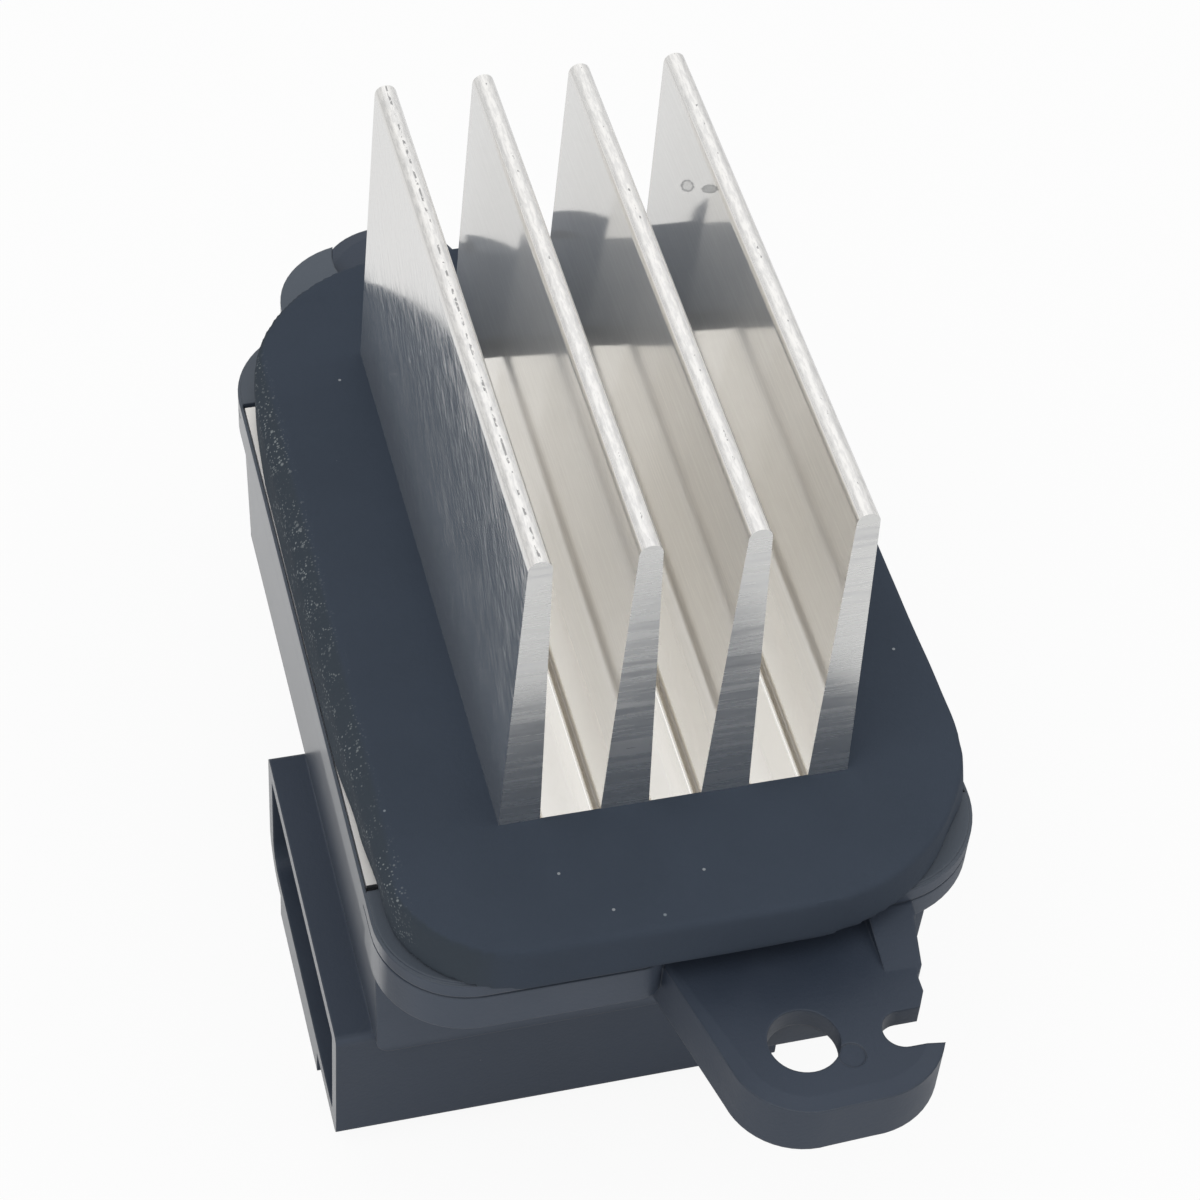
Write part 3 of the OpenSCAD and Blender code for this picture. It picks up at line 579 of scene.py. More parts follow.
@dataclass(frozen=True)
class MouldedFinish(Finish):
    """Black moulded plastic: grained, with a smooth wall, worn edges and scratches, and painted light on its
    upward rim and front panel.
    """

    wall_facing: Pair = (-0.9, -0.98)
    wall_along: Pair = (-38.0 * MM, -37.0 * MM)
    wall_roughness: float = 0.24
    # painted light: front-facing faces of the box panel are coloured lighter, as if lit from the front
    panel_facing: Pair = (-0.5, -0.8)
    panel_along: Pair = (-48.0 * MM, -46.0 * MM)
    panel_height: Pair = (-17.6 * MM, -16.6 * MM)
    panel_colour: Triple = (0.053, 0.067, 0.094)
    # painted light: upward-facing faces above the rim height are coloured lighter, as if lit from above
    rim_facing: Pair = (0.6, 0.9)
    rim_height: Pair = (1.8 * MM, 2.1 * MM)
    rim_colour: Triple = (0.084, 0.1, 0.124)
    edge_radius: float = 0.28 * MM
    edge_samples: int = 6
    edge_likeness: Pair = (0.97, 0.75)
    edge_colour: Triple = (0.13, 0.145, 0.17)
    wear_patches: Pair = (0.2, 0.9)
    wear_share: Pair = (0.1, 0.6)
    scratches: Streaks = Streaks(420.0, 0.03, 0.78)
    scratch_turn: Triple = (0.5, 0.3, 0.9)
    scratch_share: float = 0.5
    scratch_colour: Triple = (0.08, 0.09, 0.105)

    def _surface(self, on: Surface) -> dict[str, Socket]:
        """Works out colour, roughness, gloss and relief.

        Args:
            on: The material's nodes.

        Returns:
            The shader's inputs by name.
        """
        patches, colour = self._ground(on)
        normal = on.normal()
        sideways, forward, upward = on.axes(normal)
        _, along, height = on.axes(on.place)
        wall = on.times(on.span(sideways, *self.wall_facing), on.span(along, *self.wall_along))
        # painted light: the front-facing panel gets a lighter colour
        painted_panel_light = on.times(
            on.span(height, *self.panel_height),
            on.span(forward, *self.panel_facing),
            on.span(along, *self.panel_along),
        )
        # painted light: upward-facing rim faces get a lighter colour
        rim = on.times(on.span(height, *self.rim_height), on.span(upward, *self.rim_facing))
        colour = on.blend(painted_panel_light, colour, self.panel_colour)
        colour = on.blend(rim, colour, self.rim_colour)
        bevel = on.add("ShaderNodeBevel", {"Radius": self.edge_radius}, samples=self.edge_samples)
        rounded = bevel.outputs["Normal"]
        colour = self._worn(on, colour, self._edge(on, normal, rounded), patches)
        grain = on.times(self._grain(on), on.other(wall))
        return {
            "Base Color": self._marked(on, self._speckled(on, on.place, colour)),
            "Roughness": on.mix(wall, self._uneven(on, patches), self.wall_roughness),
            "Coat Weight": wall,
            "Normal": self._relief(on, grain, self.grain_depth, rounded),
        }

    def _edge(self, on: Surface, normal: Socket, rounded: Socket) -> Socket:
        """Finds the edges, where the rounded normal leaves the surface's own."""
        likeness = on.add("ShaderNodeVectorMath", {0: normal, 1: rounded}, operation="DOT_PRODUCT")
        return on.span(likeness.outputs["Value"], *self.edge_likeness)

    def _worn(self, on: Surface, colour: Socket, edge: Socket, patches: Socket) -> Socket:
        """Pales the edges unevenly and draws a few stray scratches.

        Args:
            on: The material's nodes.
            colour: The colour so far.
            edge: The edges' mask.
            patches: The patches' mask.

        Returns:
            The worn colour.
        """
        worn = on.times(edge, on.span(patches, *self.wear_patches, *self.wear_share))
        colour = on.blend(worn, colour, self.edge_colour)
        lines = self.scratches.mask(on, on.stretch(on.place, ONES, self.scratch_turn))
        return on.blend(on.times(lines, self.scratch_share), colour, self.scratch_colour)


@dataclass(frozen=True)
class ExtrusionFinish(Finish):
    """Bright drawn aluminium: die lines, saw-cut ends, scraped and pitted tips with the pits painted dark as
    shade, painted shade low on the outer faces and a painted shade line along the fins' feet.
    """

    crest: float = 0.0
    fin_pitch: float = 9.0 * MM
    outer_aside: Pair = (13.7 * MM, 14.2 * MM)
    speck_stretch: Triple = (1.0, 0.35, 1.0)
    die_lines: Streaks = Streaks(3000.0, 0.05, 0.55, 0.22)
    line_haze: Pair = (0.94, 1.04)
    line_roughness: float = 0.07
    line_relief: Cloud = Cloud(1700.0, 3.0, 0.55, (1.0, 0.03, 1.0))
    line_depth: float = 0.001 * MM
    scratches: Streaks = Streaks(5200.0, 0.1, 0.7, 0.06)
    scratch_roughness: float = 0.15
    strokes: Streaks = Streaks(3400.0, 0.09, 0.54, 0.14)
    stroke_turn: Triple = (0.66, 0.0, 0.0)
    stroke_roughness: float = 0.1
    inner_haze: Pair = (0.25, 1.0)
    inner_height: Pair = (8.0 * MM, 22.0 * MM)
    inner_lines: float = 0.35
    outer_haze: Pair = (0.0, 0.4)
    end_facing: Pair = (0.7, 0.95)
    end_colour: Triple = (0.76, 0.76, 0.74)
    end_roughness: Pair = (0.18, 0.34)
    end_haze: float = 0.8
    saw_marks: Cloud = Cloud(1500.0, 4.0, 0.65, (0.04, 1.0, 1.0), (0.0, 0.06, 0.0))
    saw_paling: Pair = (0.34, 0.46)
    saw_roughening: Pair = (0.3, 0.7)
    saw_colour: Triple = (0.62, 0.62, 0.62)
    saw_depth: float = 0.004 * MM
    # painted shade: a thin darker line along each fin's foot, where fin and floor meet
    foot_rise: Pair = (7.43 * MM, 7.55 * MM)
    foot_fall: Pair = (8.0 * MM, 7.75 * MM)
    foot_colour: Triple = (0.66, 0.635, 0.6)
    wing_height: Pair = (4.0 * MM, 3.5 * MM)
    wing_roughness: float = 0.6
    # painted shade: the outer faces grow darker towards their foot, standing in for the dark foam they
    # reflect; their haze is lowered there too
    dull_height: Pair = (21.0 * MM, 8.7 * MM)
    dull_share: float = 0.8
    dull_colour: Triple = (0.22, 0.24, 0.28)
    tip_depth: Pair = (0.5 * MM, 0.25 * MM)
    tip_scrapes: Cloud = Cloud(4200.0, 3.0, 0.65, (1.0, 0.16, 1.0))
    tip_scraping: Pair = (0.58, 0.4)
    tip_share: float = 0.4
    tip_colour: Triple = (0.5, 0.5, 0.5)
    tip_roughness: float = 0.3
    pit_depth: Pair = (0.3 * MM, 0.15 * MM)
    pit_width: float = 0.13 * MM
    pit_core: float = 0.4
    pit_wander: Cloud = Cloud(260.0, factors=(0.0, 1.0, 0.0))
    pit_dashes: Cloud = Cloud(2600.0, 2.0, 0.6, (1.0, 0.5, 1.0))
    pit_aside: Pair = (-9.0 * MM, -8.0 * MM)
    pit_cut: Pair = (0.51, 0.64)
    pit_softness: float = 0.08
    pit_crowds: Cloud = Cloud(150.0, factors=(0.0, 1.0, 0.0))
    pit_crowding: float = 0.35
    # the pits are real; their dark colour is painted shade inside them
    pit_colour: Triple = (0.17, 0.165, 0.165)

    def _surface(self, on: Surface) -> dict[str, Socket]:
        """Works out colour, roughness, haze and relief.

        Args:
            on: The material's nodes.

        Returns:
            The shader's inputs by name.
        """
        x, _, height = on.axes(on.place)
        end = on.span(on.math("ABSOLUTE", on.axes(on.normal())[1]), *self.end_facing)
        outer = on.span(on.math("ABSOLUTE", x), *self.outer_aside)
        tip = self._near_crest(on, height, self.tip_depth)
        wing = on.span(height, *self.wing_height)
        # painted shade on the outer faces, darker towards the bottom
        painted_shade = on.times(outer, on.span(height, *self.dull_height))
        painted_shade = on.math("SUBTRACT", painted_shade, wing, clamp=True)
        # painted shade line along the fins' feet
        painted_foot_shade = on.times(on.span(height, *self.foot_rise), on.span(height, *self.foot_fall))
        saw = self.saw_marks.read(on)
        sawn = on.blend(on.span(saw, *self.saw_paling), self.saw_colour, self.end_colour)
        scraped = on.times(tip, on.span(self.tip_scrapes.read(on), *self.tip_scraping), self.tip_share)
        colour = self._speckled(on, on.stretch(on.place, self.speck_stretch), self._ground(on)[1])
        colour = self._pitted(on, on.blend(scraped, colour, self.tip_colour))
        # lay the painted shade low on the outer faces, then the painted shade line at the feet
        colour = on.blend(on.times(painted_shade, self.dull_share), colour, self.dull_colour)
        colour = on.blend(painted_foot_shade, colour, self.foot_colour)
        rough, haze = self._drawn(on, outer)
        rough = on.mix(wing, on.mix(tip, rough, self.tip_roughness), self.wing_roughness)
        haze = on.times(haze, on.other(painted_shade))
        along = self._relief(on, on.times(self.line_relief.read(on), on.other(end)), self.line_depth)
        return {
            "Base Color": self._marked(on, on.blend(end, colour, sawn)),
            "Roughness": on.mix(end, rough, on.span(saw, *self.saw_roughening, *self.end_roughness)),
            "Coat Weight": on.mix(end, haze, self.end_haze),
            "Normal": self._relief(on, on.times(saw, end), self.saw_depth, along),
        }

    def _near_crest(self, on: Surface, height: Socket, depth: Pair) -> Socket:
        """Finds what lies less than a depth below the fins' tips."""
        return on.span(height, self.crest - depth[0], self.crest - depth[1])

    def _drawn(self, on: Surface, outer: Socket) -> tuple[Socket, Socket]:
        """Works out the gloss of the drawn faces: bright, with hazy die lines and a few scratches.

        Args:
            on: The material's nodes.
            outer: The mask of the first and last fins' outer faces.

        Returns:
            The roughness and the weight of the haze.
        """
        lines = self.die_lines.mask(on, on.place)
        scratches = self.scratches.mask(on, on.place)
        strokes = self.strokes.mask(on, on.local(on.place, ZEROS, ONES, self.stroke_turn))
        inner = on.span(on.axes(on.place)[2], *self.inner_height, *self.inner_haze)
        haze = on.mix(outer, inner, on.span(strokes, 0.0, 1.0, *self.outer_haze))
        haze = on.times(haze, on.span(lines, 0.0, 1.0, *self.line_haze))
        fine = on.plus(on.times(lines, self.line_roughness), on.times(scratches, self.scratch_roughness))
        fine = on.times(fine, on.mix(outer, self.inner_lines, 1.0))
        broad = on.times(strokes, outer, self.stroke_roughness)
        return on.plus(self.roughness, on.plus(fine, broad)), haze

    def _pitted(self, on: Surface, colour: Socket) -> Socket:
        """Draws the broken line of pits along each fin's tip, closest on the first fin; their dark colour is
        painted shade inside the pits.

        Args:
            on: The material's nodes.
            colour: The colour so far.

        Returns:
            The colour with the pits.
        """
        x, _, height = on.axes(on.place)
        across = on.math("FRACT", on.math("DIVIDE", x, self.fin_pitch))
        aside = on.times(on.math("ABSOLUTE", on.math("SUBTRACT", across, 0.5)), self.fin_pitch)
        aside = on.plus(aside, on.times(self.pit_wander.swing(on), self.pit_width))
        line = on.span(aside, self.pit_width, self.pit_width * self.pit_core)
        cut = on.span(x, *self.pit_aside, *self.pit_cut)
        cut = on.plus(cut, on.times(self.pit_crowds.swing(on), self.pit_crowding))
        pits = on.span(self.pit_dashes.read(on), cut, on.plus(cut, self.pit_softness))
        pits = on.times(pits, line, self._near_crest(on, height, self.pit_depth))
        return on.blend(pits, colour, self.pit_colour)


def clamp(value: float) -> float:
    """Keeps a value from 0 to 1."""
    return min(max(value, 0.0), 1.0)


def clear_selection() -> None:
    """Leaves object mode and selects nothing."""
    if bpy.context.object and bpy.context.object.mode != "OBJECT":
        bpy.ops.object.mode_set(mode="OBJECT")
    bpy.ops.object.select_all(action="DESELECT")


def select_only(piece: bpy.types.Object) -> None:
    """Selects one piece and makes it the active one.

    Args:
        piece: The object.
    """
    clear_selection()
    bpy.context.view_layer.objects.active = piece
    piece.select_set(True)


def select_vertices(piece: bpy.types.Object, test: Callable[[bpy.types.MeshVertex], bool]) -> None:
    """Selects the vertices of a mesh that pass a test, and leaves it in edit mode.

    Args:
        piece: The object that holds the mesh.
        test: Says whether a vertex is selected.
    """
    bpy.context.view_layer.objects.active = piece
    bpy.ops.object.mode_set(mode="EDIT")
    bpy.ops.mesh.select_mode(type="VERT")
    bpy.ops.mesh.select_all(action="DESELECT")
    bpy.ops.object.mode_set(mode="OBJECT")
    for vertex in piece.data.vertices:
        vertex.select = test(vertex)
    bpy.ops.object.mode_set(mode="EDIT")


def resize_mesh(factors: Triple) -> None:
    """Scales the new object's mesh.

    Args:
        factors: The factor on each axis.
    """
    bpy.ops.object.mode_set(mode="EDIT")
    bpy.ops.transform.resize(value=factors)
    bpy.ops.object.mode_set(mode="OBJECT")


def apply_modifier(piece: bpy.types.Object, kind: str, **settings: object) -> None:
    """Adds a modifier to a piece and applies it.

    Args:
        piece: The object.
        kind: The modifier's type.
        settings: The modifier's properties.
    """
    select_only(piece)
    modifier = piece.modifiers.new(kind.lower(), kind)
    for name, value in settings.items():
        setattr(modifier, name, value)
    bpy.ops.object.modifier_apply(modifier=modifier.name)


@dataclass
class FoamSeal:
    """The foam ring that lies on the flange, round the fins."""

    low: Vector
    high: Vector
    opening: Vector
    tight_corner: float = 11.5 * MM
    wide_corner: float = 18.0 * MM
    corner_steps: int = 20
    corner_reach: float = 0.1 * MM
    voxel: float = 0.5 * MM
    smooth_share: float = 0.5
    smooth_steps: int = 3
    sharp_angle: float = 50.0
    cutter_height: float = 3.0
    lift: float = 0.03 * MM
    wave_size: float = 14.0 * MM
    wave_height: float = 0.16 * MM
    dust: Points = ((-18.35, 26.37), (-11.85, -35.73), (0.34, -37.78), (-8.24, -40.31), (23.95, -17.19))
    dust_radius: float = 0.15 * MM
    dust_strength: float = 0.5
    flare_zone: float = 3.0 * MM
    flare_top: float = 0.2
    shoulder_drop: float = 1.5 * MM
    shoulder_zone: float = 2.1 * MM
    shoulder_end: float = 36.0 * MM
    shoulder_power: int = 6
    left_flare: Points = (
        (-38.0, 0.0), (-31.3, -0.5), (-24.0, 0.0), (-15.5, 0.6), (17.0, 0.5), (29.4, -0.2), (38.0, 0.0)
    )
    right_flare: Points = ((-38.0, 0.0), (-31.0, 1.6), (-27.0, 0.8), (-22.0, 0.6), (-12.0, 0.0))

    @classmethod
    def from_frame(cls, pedestal_half: float, clearance: float) -> "FoamSeal":
        """Takes the ring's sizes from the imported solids.

        Args:
            pedestal_half: Half the width of the heat sink's raised middle.
            clearance: The gap between foam and metal.

        Returns:
            The ring, not yet built.
        """
        low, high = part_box("foam_seal")
        sink_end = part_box("heatsink")[1].y
        return cls(low, high, Vector((pedestal_half + clearance, sink_end + clearance, 0.0)))

    @property
    def thickness(self) -> float:
        """Gives the foam's height."""
        return self.high.z - self.low.z

    def build(self) -> bpy.types.Object:
        """Models the ring.

        Returns:
            The ring, at the origin with its place in its mesh.
        """
        ring = self._outline()
        self._raise(ring)
        apply_modifier(ring, "REMESH", mode="VOXEL", voxel_size=self.voxel, adaptivity=0.0)
        apply_modifier(ring, "SMOOTH", factor=self.smooth_share, iterations=self.smooth_steps)
        self._wave(ring)
        self._settle(ring)
        self._cut_opening(ring)
        select_only(ring)
        bpy.ops.object.shade_smooth_by_angle(angle=math.radians(self.sharp_angle))
        return ring

    def dress(self, ring: bpy.types.Object) -> None:
        """Gives the ring its finish and puts it in its solid's place.

        Args:
            ring: The built ring.
        """
        specks = ((x * MM, y * MM, self.high.z) for x, y in self.dust)
        finish = FoamFinish(
            name="seal_foam",
            base=(0.046, 0.059, 0.081),
            shifted=(0.051, 0.065, 0.089),
            roughness=0.9, roughness_swing=0.08, specular=0.12,
            grain_scale=1600.0, grain_coarse=0.6, grain_depth=0.05 * MM, patch_scale=90.0,
            speck_colour=(0.22, 0.25, 0.28), speck_scale=240.0, speck_share=0.12, speck_size=0.05,
            mark_colour=(0.5, 0.53, 0.55),
            marks=tuple(Mark.dot(place, self.dust_radius, self.dust_strength) for place in specks),
        )
        ring.data.materials.clear()
        ring.data.materials.append(finish.build())
        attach(ring, BODY)
        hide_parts("foam_seal")
        LOG.info("laid %s: %d faces", ring.name, len(ring.data.polygons))

    def _outline(self) -> bpy.types.Object:
        """Rounds a flat sheet's four corners.

        Returns:
            The sheet.
        """
        clear_selection()
        centre = (self.low + self.high) / 2
        size = self.high - self.low
        bpy.ops.mesh.primitive_plane_add(size=1.0, location=(centre.x, centre.y, self.low.z))
        sheet = bpy.context.object
        sheet.name = "foam_ring"
        resize_mesh((size.x, size.y, 1.0))
        bpy.ops.object.transform_apply(location=True, rotation=True, scale=True)
        for radius, sign in ((self.tight_corner, 1.0), (self.wide_corner, -1.0)):
            select_vertices(
                sheet,
                lambda v: abs(abs(v.co.x) - size.x / 2) < self.corner_reach
                and abs(abs(v.co.y) - size.y / 2) < self.corner_reach
                and v.co.x * v.co.y * sign > 0,
            )
            bpy.ops.mesh.bevel(
                offset=radius, segments=self.corner_steps, affect="VERTICES", clamp_overlap=False
            )
            bpy.ops.object.mode_set(mode="OBJECT")
        return sheet

    def _raise(self, ring: bpy.types.Object) -> None:
        """Gives the sheet its thickness.

        Args:
            ring: The flat sheet.
        """
        select_only(ring)
        bpy.ops.object.mode_set(mode="EDIT")
        bpy.ops.mesh.select_mode(type="FACE")
        bpy.ops.mesh.select_all(action="SELECT")
        bpy.ops.mesh.extrude_region_move(TRANSFORM_OT_translate={"value": (0.0, 0.0, self.thickness)})
        bpy.ops.mesh.select_all(action="SELECT")
        bpy.ops.mesh.normals_make_consistent(inside=False)
        bpy.ops.object.mode_set(mode="OBJECT")

    def _cut_opening(self, ring: bpy.types.Object) -> None:
        """Cuts the opening for the heat sink.

        Args:
            ring: The solid sheet.
        """
        clear_selection()
        bpy.ops.mesh.primitive_cube_add(size=1.0, location=(0.0, 0.0, (self.low.z + self.high.z) / 2))
        cutter = bpy.context.object
        resize_mesh((2 * self.opening.x, 2 * self.opening.y, self.cutter_height * self.thickness))
        apply_modifier(ring, "BOOLEAN", operation="DIFFERENCE", solver="EXACT", object=cutter)
        bpy.data.objects.remove(cutter)

    def _wave(self, ring: bpy.types.Object) -> None:
        """Makes the foam's faces a little uneven.

        Args:
            ring: The dense sheet.
        """
        waves = bpy.data.textures.new("foam_waves", "CLOUDS")
        waves.noise_scale = self.wave_size
        apply_modifier(
            ring, "DISPLACE", texture=waves, texture_coords="LOCAL", strength=self.wave_height, mid_level=0.5
        )

    def _settle(self, ring: bpy.types.Object) -> None:
        """Rounds the left shoulder, moves the lower edges in or out and lays the underside flat.

        Args:
            ring: The waved sheet.
        """
        floor = self.low.z + self.lift
        edges = ((self.left_flare, -1.0, self.low.x), (self.right_flare, 1.0, self.high.x))
        for vertex in ring.data.vertices:
            place = vertex.co
            depth = 1.0 - clamp((place.z - self.low.z) / self.thickness)
            share = self.flare_top + (1.0 - self.flare_top) * depth
            inward = clamp(1.0 - (place.x - self.low.x) / self.shoulder_zone)
            fade = max(1.0 - (place.y / self.shoulder_end) ** self.shoulder_power, 0.0)
            place.z -= self.shoulder_drop * inward * inward * fade * (1.0 - depth)
            for line, side, edge in edges:
                nearness = clamp(1.0 - abs(edge - place.x) / self.flare_zone)
                place.x += side * self._along(line, place.y / MM) * MM * nearness * share
            place.z = max(place.z, floor)

    @staticmethod
    def _along(line: Points, y: float) -> float:
        """Reads a line of points smoothly.

        Args:
            line: The points, each a place and a value.
            y: The place to read.

        Returns:
            The value, or nought past the line's ends.
        """
        for (y0, first), (y1, second) in zip(line, line[1:]):
            if y0 <= y < y1:
                part = (y - y0) / (y1 - y0)
                return first + (second - first) * part * part * (3.0 - 2.0 * part)
        return 0.0


@dataclass(frozen=True)
class Lamp:
    """A soft flat lamp that faces the part."""

    name: str
    place: Triple
    power: float
    width: float = 0.5
    depth: float = 0.5

    def hang(self) -> None:
        """Puts the lamp in the scene."""
        data = bpy.data.lights.new(self.name, "AREA")
        data.shape = "RECTANGLE"
        data.size = self.width
        data.size_y = self.depth
        data.energy = self.power
        lamp = bpy.data.objects.new(self.name, data)
        lamp.location = self.place
        lamp.rotation_euler = (-Vector(self.place)).to_track_quat("-Z", "Y").to_euler()
        bpy.context.scene.collection.objects.link(lamp)


@dataclass
class Studio:
    """The floor, the lamps, the surroundings and the camera."""

    camera_at: Triple = (-61.31 * MM, -191.06 * MM, 222.82 * MM)
    camera_turn: Triple = (42.136, -3.469, -14.324)
    lens: float = 95.33
    sensor: float = 36.0
    clip: Pair = (0.01, 20.0)
    floor_size: float = 6.0
    floor_gap: float = 0.1 * MM
    floor_colour: Triple = (0.9, 0.9, 0.9)
    floor_shown: float = 0.92
    ambient: float = 0.55
    world_mirrored: float = 0.33
    mirror_bounces: int = 12
    lamps: tuple[Lamp, ...] = (
        Lamp("key", (-0.25, -0.3, 0.62), 1.6),
        Lamp("fill", (0.45, -0.05, 0.5), 0.5),
        Lamp("back", (0.0, 0.52, 0.62), 0.45, width=0.9),
    )

    def build(self) -> None:
        """Sets up the whole studio."""
        self._floor()
        self._surroundings()
        for lamp in self.lamps:
            lamp.hang()
        self._camera()
        scene = bpy.context.scene
        scene.view_settings.view_transform = "Standard"
        scene.cycles.glossy_bounces = self.mirror_bounces
        LOG.info("set up the floor, the lamps and the camera")

    @staticmethod
    def _glow(shade: Shade, shown: float, mirrored: float = 0.0) -> Socket:
        """Finds how far the background shines by itself on a ray.

        Args:
            shade: The tree that needs it.
            shown: The share on rays from the camera.
            mirrored: The share on glossy and transmission rays.

        Returns:
            The share, nought on rays that light the part.
        """
        path = shade.add("ShaderNodeLightPath")
        bent = shade.math("MAXIMUM", path.outputs["Is Glossy Ray"], path.outputs["Is Transmission Ray"])
        straight = shade.times(path.outputs["Is Camera Ray"], shown)
        return shade.math("MAXIMUM", straight, shade.times(bent, mirrored))

    def _floor(self) -> None:
        """Lays the pale floor just under the part."""
        clear_selection()
        level = CAD_BOX[0].z - self.floor_gap
        bpy.ops.mesh.primitive_plane_add(size=self.floor_size, location=(0.0, 0.0, level))
        floor = bpy.context.object
        floor.name = "floor"
        material = bpy.data.materials.new("floor_white")
        shade = Shade(clear_tree(material))
        matte = shade.add("ShaderNodeBsdfDiffuse", {"Color": self.floor_colour}).outputs[0]
        glow = shade.add("ShaderNodeEmission", {"Color": ONES, "Strength": 1.0}).outputs[0]
        share = self._glow(shade, self.floor_shown)
        mixed = shade.add("ShaderNodeMixShader", {0: share, 1: matte, 2: glow})
        shade.add("ShaderNodeOutputMaterial", {"Surface": mixed.outputs[0]})
        floor.data.materials.append(material)

    def _surroundings(self) -> None:
        """Makes the white surroundings, softer as a light than as a background."""
        world = bpy.data.worlds.new("studio")
        shade = Shade(clear_tree(world))
        light = shade.add("ShaderNodeBackground", {"Color": ONES, "Strength": self.ambient}).outputs[0]
        shown = shade.add("ShaderNodeBackground", {"Color": ONES, "Strength": 1.0}).outputs[0]
        share = self._glow(shade, 1.0, self.world_mirrored)
        mixed = shade.add("ShaderNodeMixShader", {0: share, 1: light, 2: shown})
        shade.add("ShaderNodeOutputWorld", {"Surface": mixed.outputs[0]})
        bpy.context.scene.world = world

    def _camera(self) -> None:
        """Places the camera at the photograph's angle."""
        data = bpy.data.cameras.new("camera")
        data.lens = self.lens
        data.sensor_width = self.sensor
        data.clip_start, data.clip_end = self.clip
        camera = bpy.data.objects.new("camera", data)
        camera.location = self.camera_at
        camera.rotation_euler = Euler([math.radians(angle) for angle in self.camera_turn], "XYZ")
        bpy.context.scene.collection.objects.link(camera)
        bpy.context.scene.camera = camera


def dress_nodes(slot: Slot, finish: Finish) -> None:
    """Puts a finish on every solid of one material slot.

    Args:
        slot: The record's slot.
        finish: The finish.
    """
    material = finish.build()
    for part in frame["record"]["subparts"]:
        if part["material_slot"] == slot.value:
            piece = frame["nodes"][part["node"]]
            piece.data.materials.clear()
            piece.data.materials.append(material)
            LOG.info("dressed %s with %s", part["node"], material.name)


@dataclass
class HeatSink:
    """The bright extrusion, with two dried drops on the fourth fin's left face."""

    pedestal_half: float = 15.7 * MM
    stained_face: float = 12.3 * MM
    stain_reach: float = 1.5 * MM
    stain_lean: float = -0.71
    stain_strength: float = 0.95

    def dress(self) -> None:
        """Gives the extrusion its finish."""
        finish = ExtrusionFinish(
            name="drawn_aluminium",
            base=(0.965, 0.944, 0.908),
            shifted=(0.975, 0.958, 0.928),
            roughness=0.06, metallic=1.0, patch_scale=45.0,
            coat_roughness=0.55, coat_ior=3.3, sheen=0.18, sheen_tint=(0.84, 0.91, 1.0),
            speck_colour=(0.34, 0.29, 0.24), speck_scale=260.0, speck_share=0.06, speck_size=0.09,
            crest=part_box("heatsink")[1].z,
            mark_colour=(0.15, 0.15, 0.14),
            marks=(
                self._stain(y=19.25 * MM, z=34.44 * MM, half_length=2.5 * MM, half_width=0.6 * MM, core=0.3),
                self._stain(y=13.4 * MM, z=39.0 * MM, half_length=2.9 * MM, half_width=0.42 * MM, core=0.8),
            ),
        )
        dress_nodes(Slot.ALUMINIUM, finish)

    def _stain(self, y: float, z: float, half_length: float, half_width: float, core: float) -> Mark:
        """Places one dried drop, by its middle, its size and how dark its core is beside its rim."""
        return Mark(
            centre=(self.stained_face, y, z),
            radii=(self.stain_reach, half_length, half_width),
            turn=(self.stain_lean, 0.0, 0.0),
            strength=self.stain_strength,
            core=core,
        )


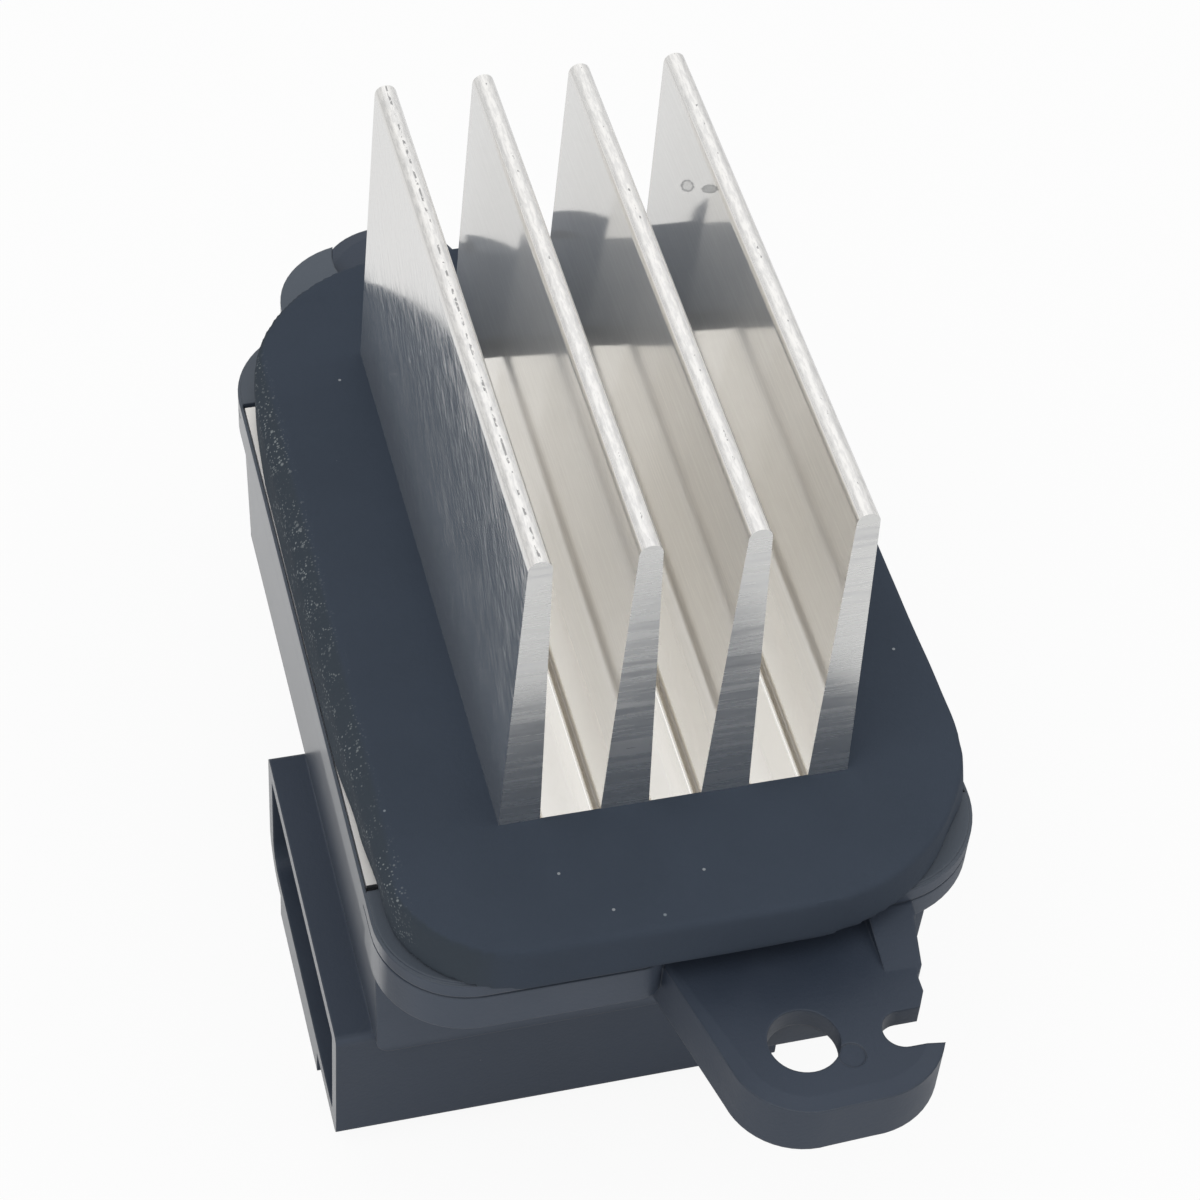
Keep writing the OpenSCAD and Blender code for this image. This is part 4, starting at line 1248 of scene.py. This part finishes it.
@dataclass
class Housing:
    """The black moulding and the terminals in its socket."""

    scuffs: tuple[Triple, ...] = ((14.9 * MM, -57.3 * MM, -0.2 * MM), (15.5 * MM, -56.7 * MM, -0.2 * MM))
    scuff_radius: float = 0.3 * MM
    scuff_strength: float = 0.9

    def dress(self) -> None:
        """Gives the moulding and the terminals their finishes."""
        plastic = MouldedFinish(
            name="black_moulding",
            base=(0.033, 0.044, 0.066),
            shifted=(0.04, 0.052, 0.076),
            roughness=0.46, specular=0.4, specular_tint=(0.88, 0.94, 1.0),
            coat_roughness=0.38, coat_ior=1.85, grain_scale=2600.0, patch_scale=70.0,
            speck_colour=(0.2, 0.21, 0.23), speck_scale=420.0, speck_share=0.03, speck_size=0.08,
            mark_colour=(0.5, 0.51, 0.53),
            marks=tuple(Mark.dot(place, self.scuff_radius, self.scuff_strength) for place in self.scuffs),
        )
        dress_nodes(Slot.PLASTIC, plastic)
        tinned = Finish(
            name="tinned_terminal", base=(0.66, 0.64, 0.6), shifted=(0.74, 0.72, 0.68),
            roughness=0.28, metallic=1.0, grain_scale=1800.0, grain_depth=0.006 * MM,
            speck_colour=(0.4, 0.37, 0.32),
        )
        dress_nodes(Slot.TERMINAL, tinned)


@dataclass
class Inside:
    """The board and the parts that the housing holds."""

    metal_grain: float = 0.008 * MM
    sleeve_grain: float = 900.0
    compound_grain: float = 3500.0

    def dress(self) -> None:
        """Gives each inner part its finish."""
        finishes = {
            Slot.COMPONENT: Finish(
                name="moulding_compound", base=(0.02, 0.02, 0.022), shifted=(0.03, 0.03, 0.032),
                roughness=0.6, grain_scale=self.compound_grain,
            ),
            Slot.SCREW: Finish(
                name="zinc_plate", base=(0.5, 0.51, 0.52), shifted=(0.6, 0.6, 0.6),
                roughness=0.34, metallic=1.0, grain_depth=self.metal_grain,
            ),
            Slot.BOARD: Finish(
                name="solder_resist", base=(0.015, 0.1, 0.035), shifted=(0.025, 0.15, 0.06),
                roughness=0.35, patch_scale=320.0, speck_colour=(0.5, 0.47, 0.4),
                speck_scale=600.0, speck_share=0.12, speck_size=0.25,
            ),
            Slot.PAD: Finish(
                name="pad_sheet", base=(0.42, 0.47, 0.52), shifted=(0.5, 0.54, 0.58), roughness=0.75
            ),
            Slot.CAN: Finish(
                name="can_sleeve", base=(0.03, 0.05, 0.13), shifted=(0.04, 0.06, 0.16),
                roughness=0.3, grain_scale=self.sleeve_grain,
            ),
            Slot.SHUNT: Finish(
                name="shunt_strip", base=(0.4, 0.28, 0.2), shifted=(0.48, 0.36, 0.27),
                roughness=0.38, metallic=1.0, grain_depth=self.metal_grain,
            ),
            Slot.CERAMIC: Finish(
                name="fired_ceramic", base=(0.4, 0.27, 0.15), shifted=(0.48, 0.34, 0.2), roughness=0.45
            ),
        }
        for slot, finish in finishes.items():
            dress_nodes(slot, finish)


def main() -> None:
    """Builds the studio, dresses the solids and lays the foam."""
    logging.basicConfig(level=logging.INFO, format="%(name)s: %(message)s")
    Studio().build()
    sink = HeatSink()
    sink.dress()
    Housing().dress()
    Inside().dress()
    seal = FoamSeal.from_frame(sink.pedestal_half, clearance=-0.06 * MM)
    seal.dress(seal.build())


if __name__ == "__main__":
    main()
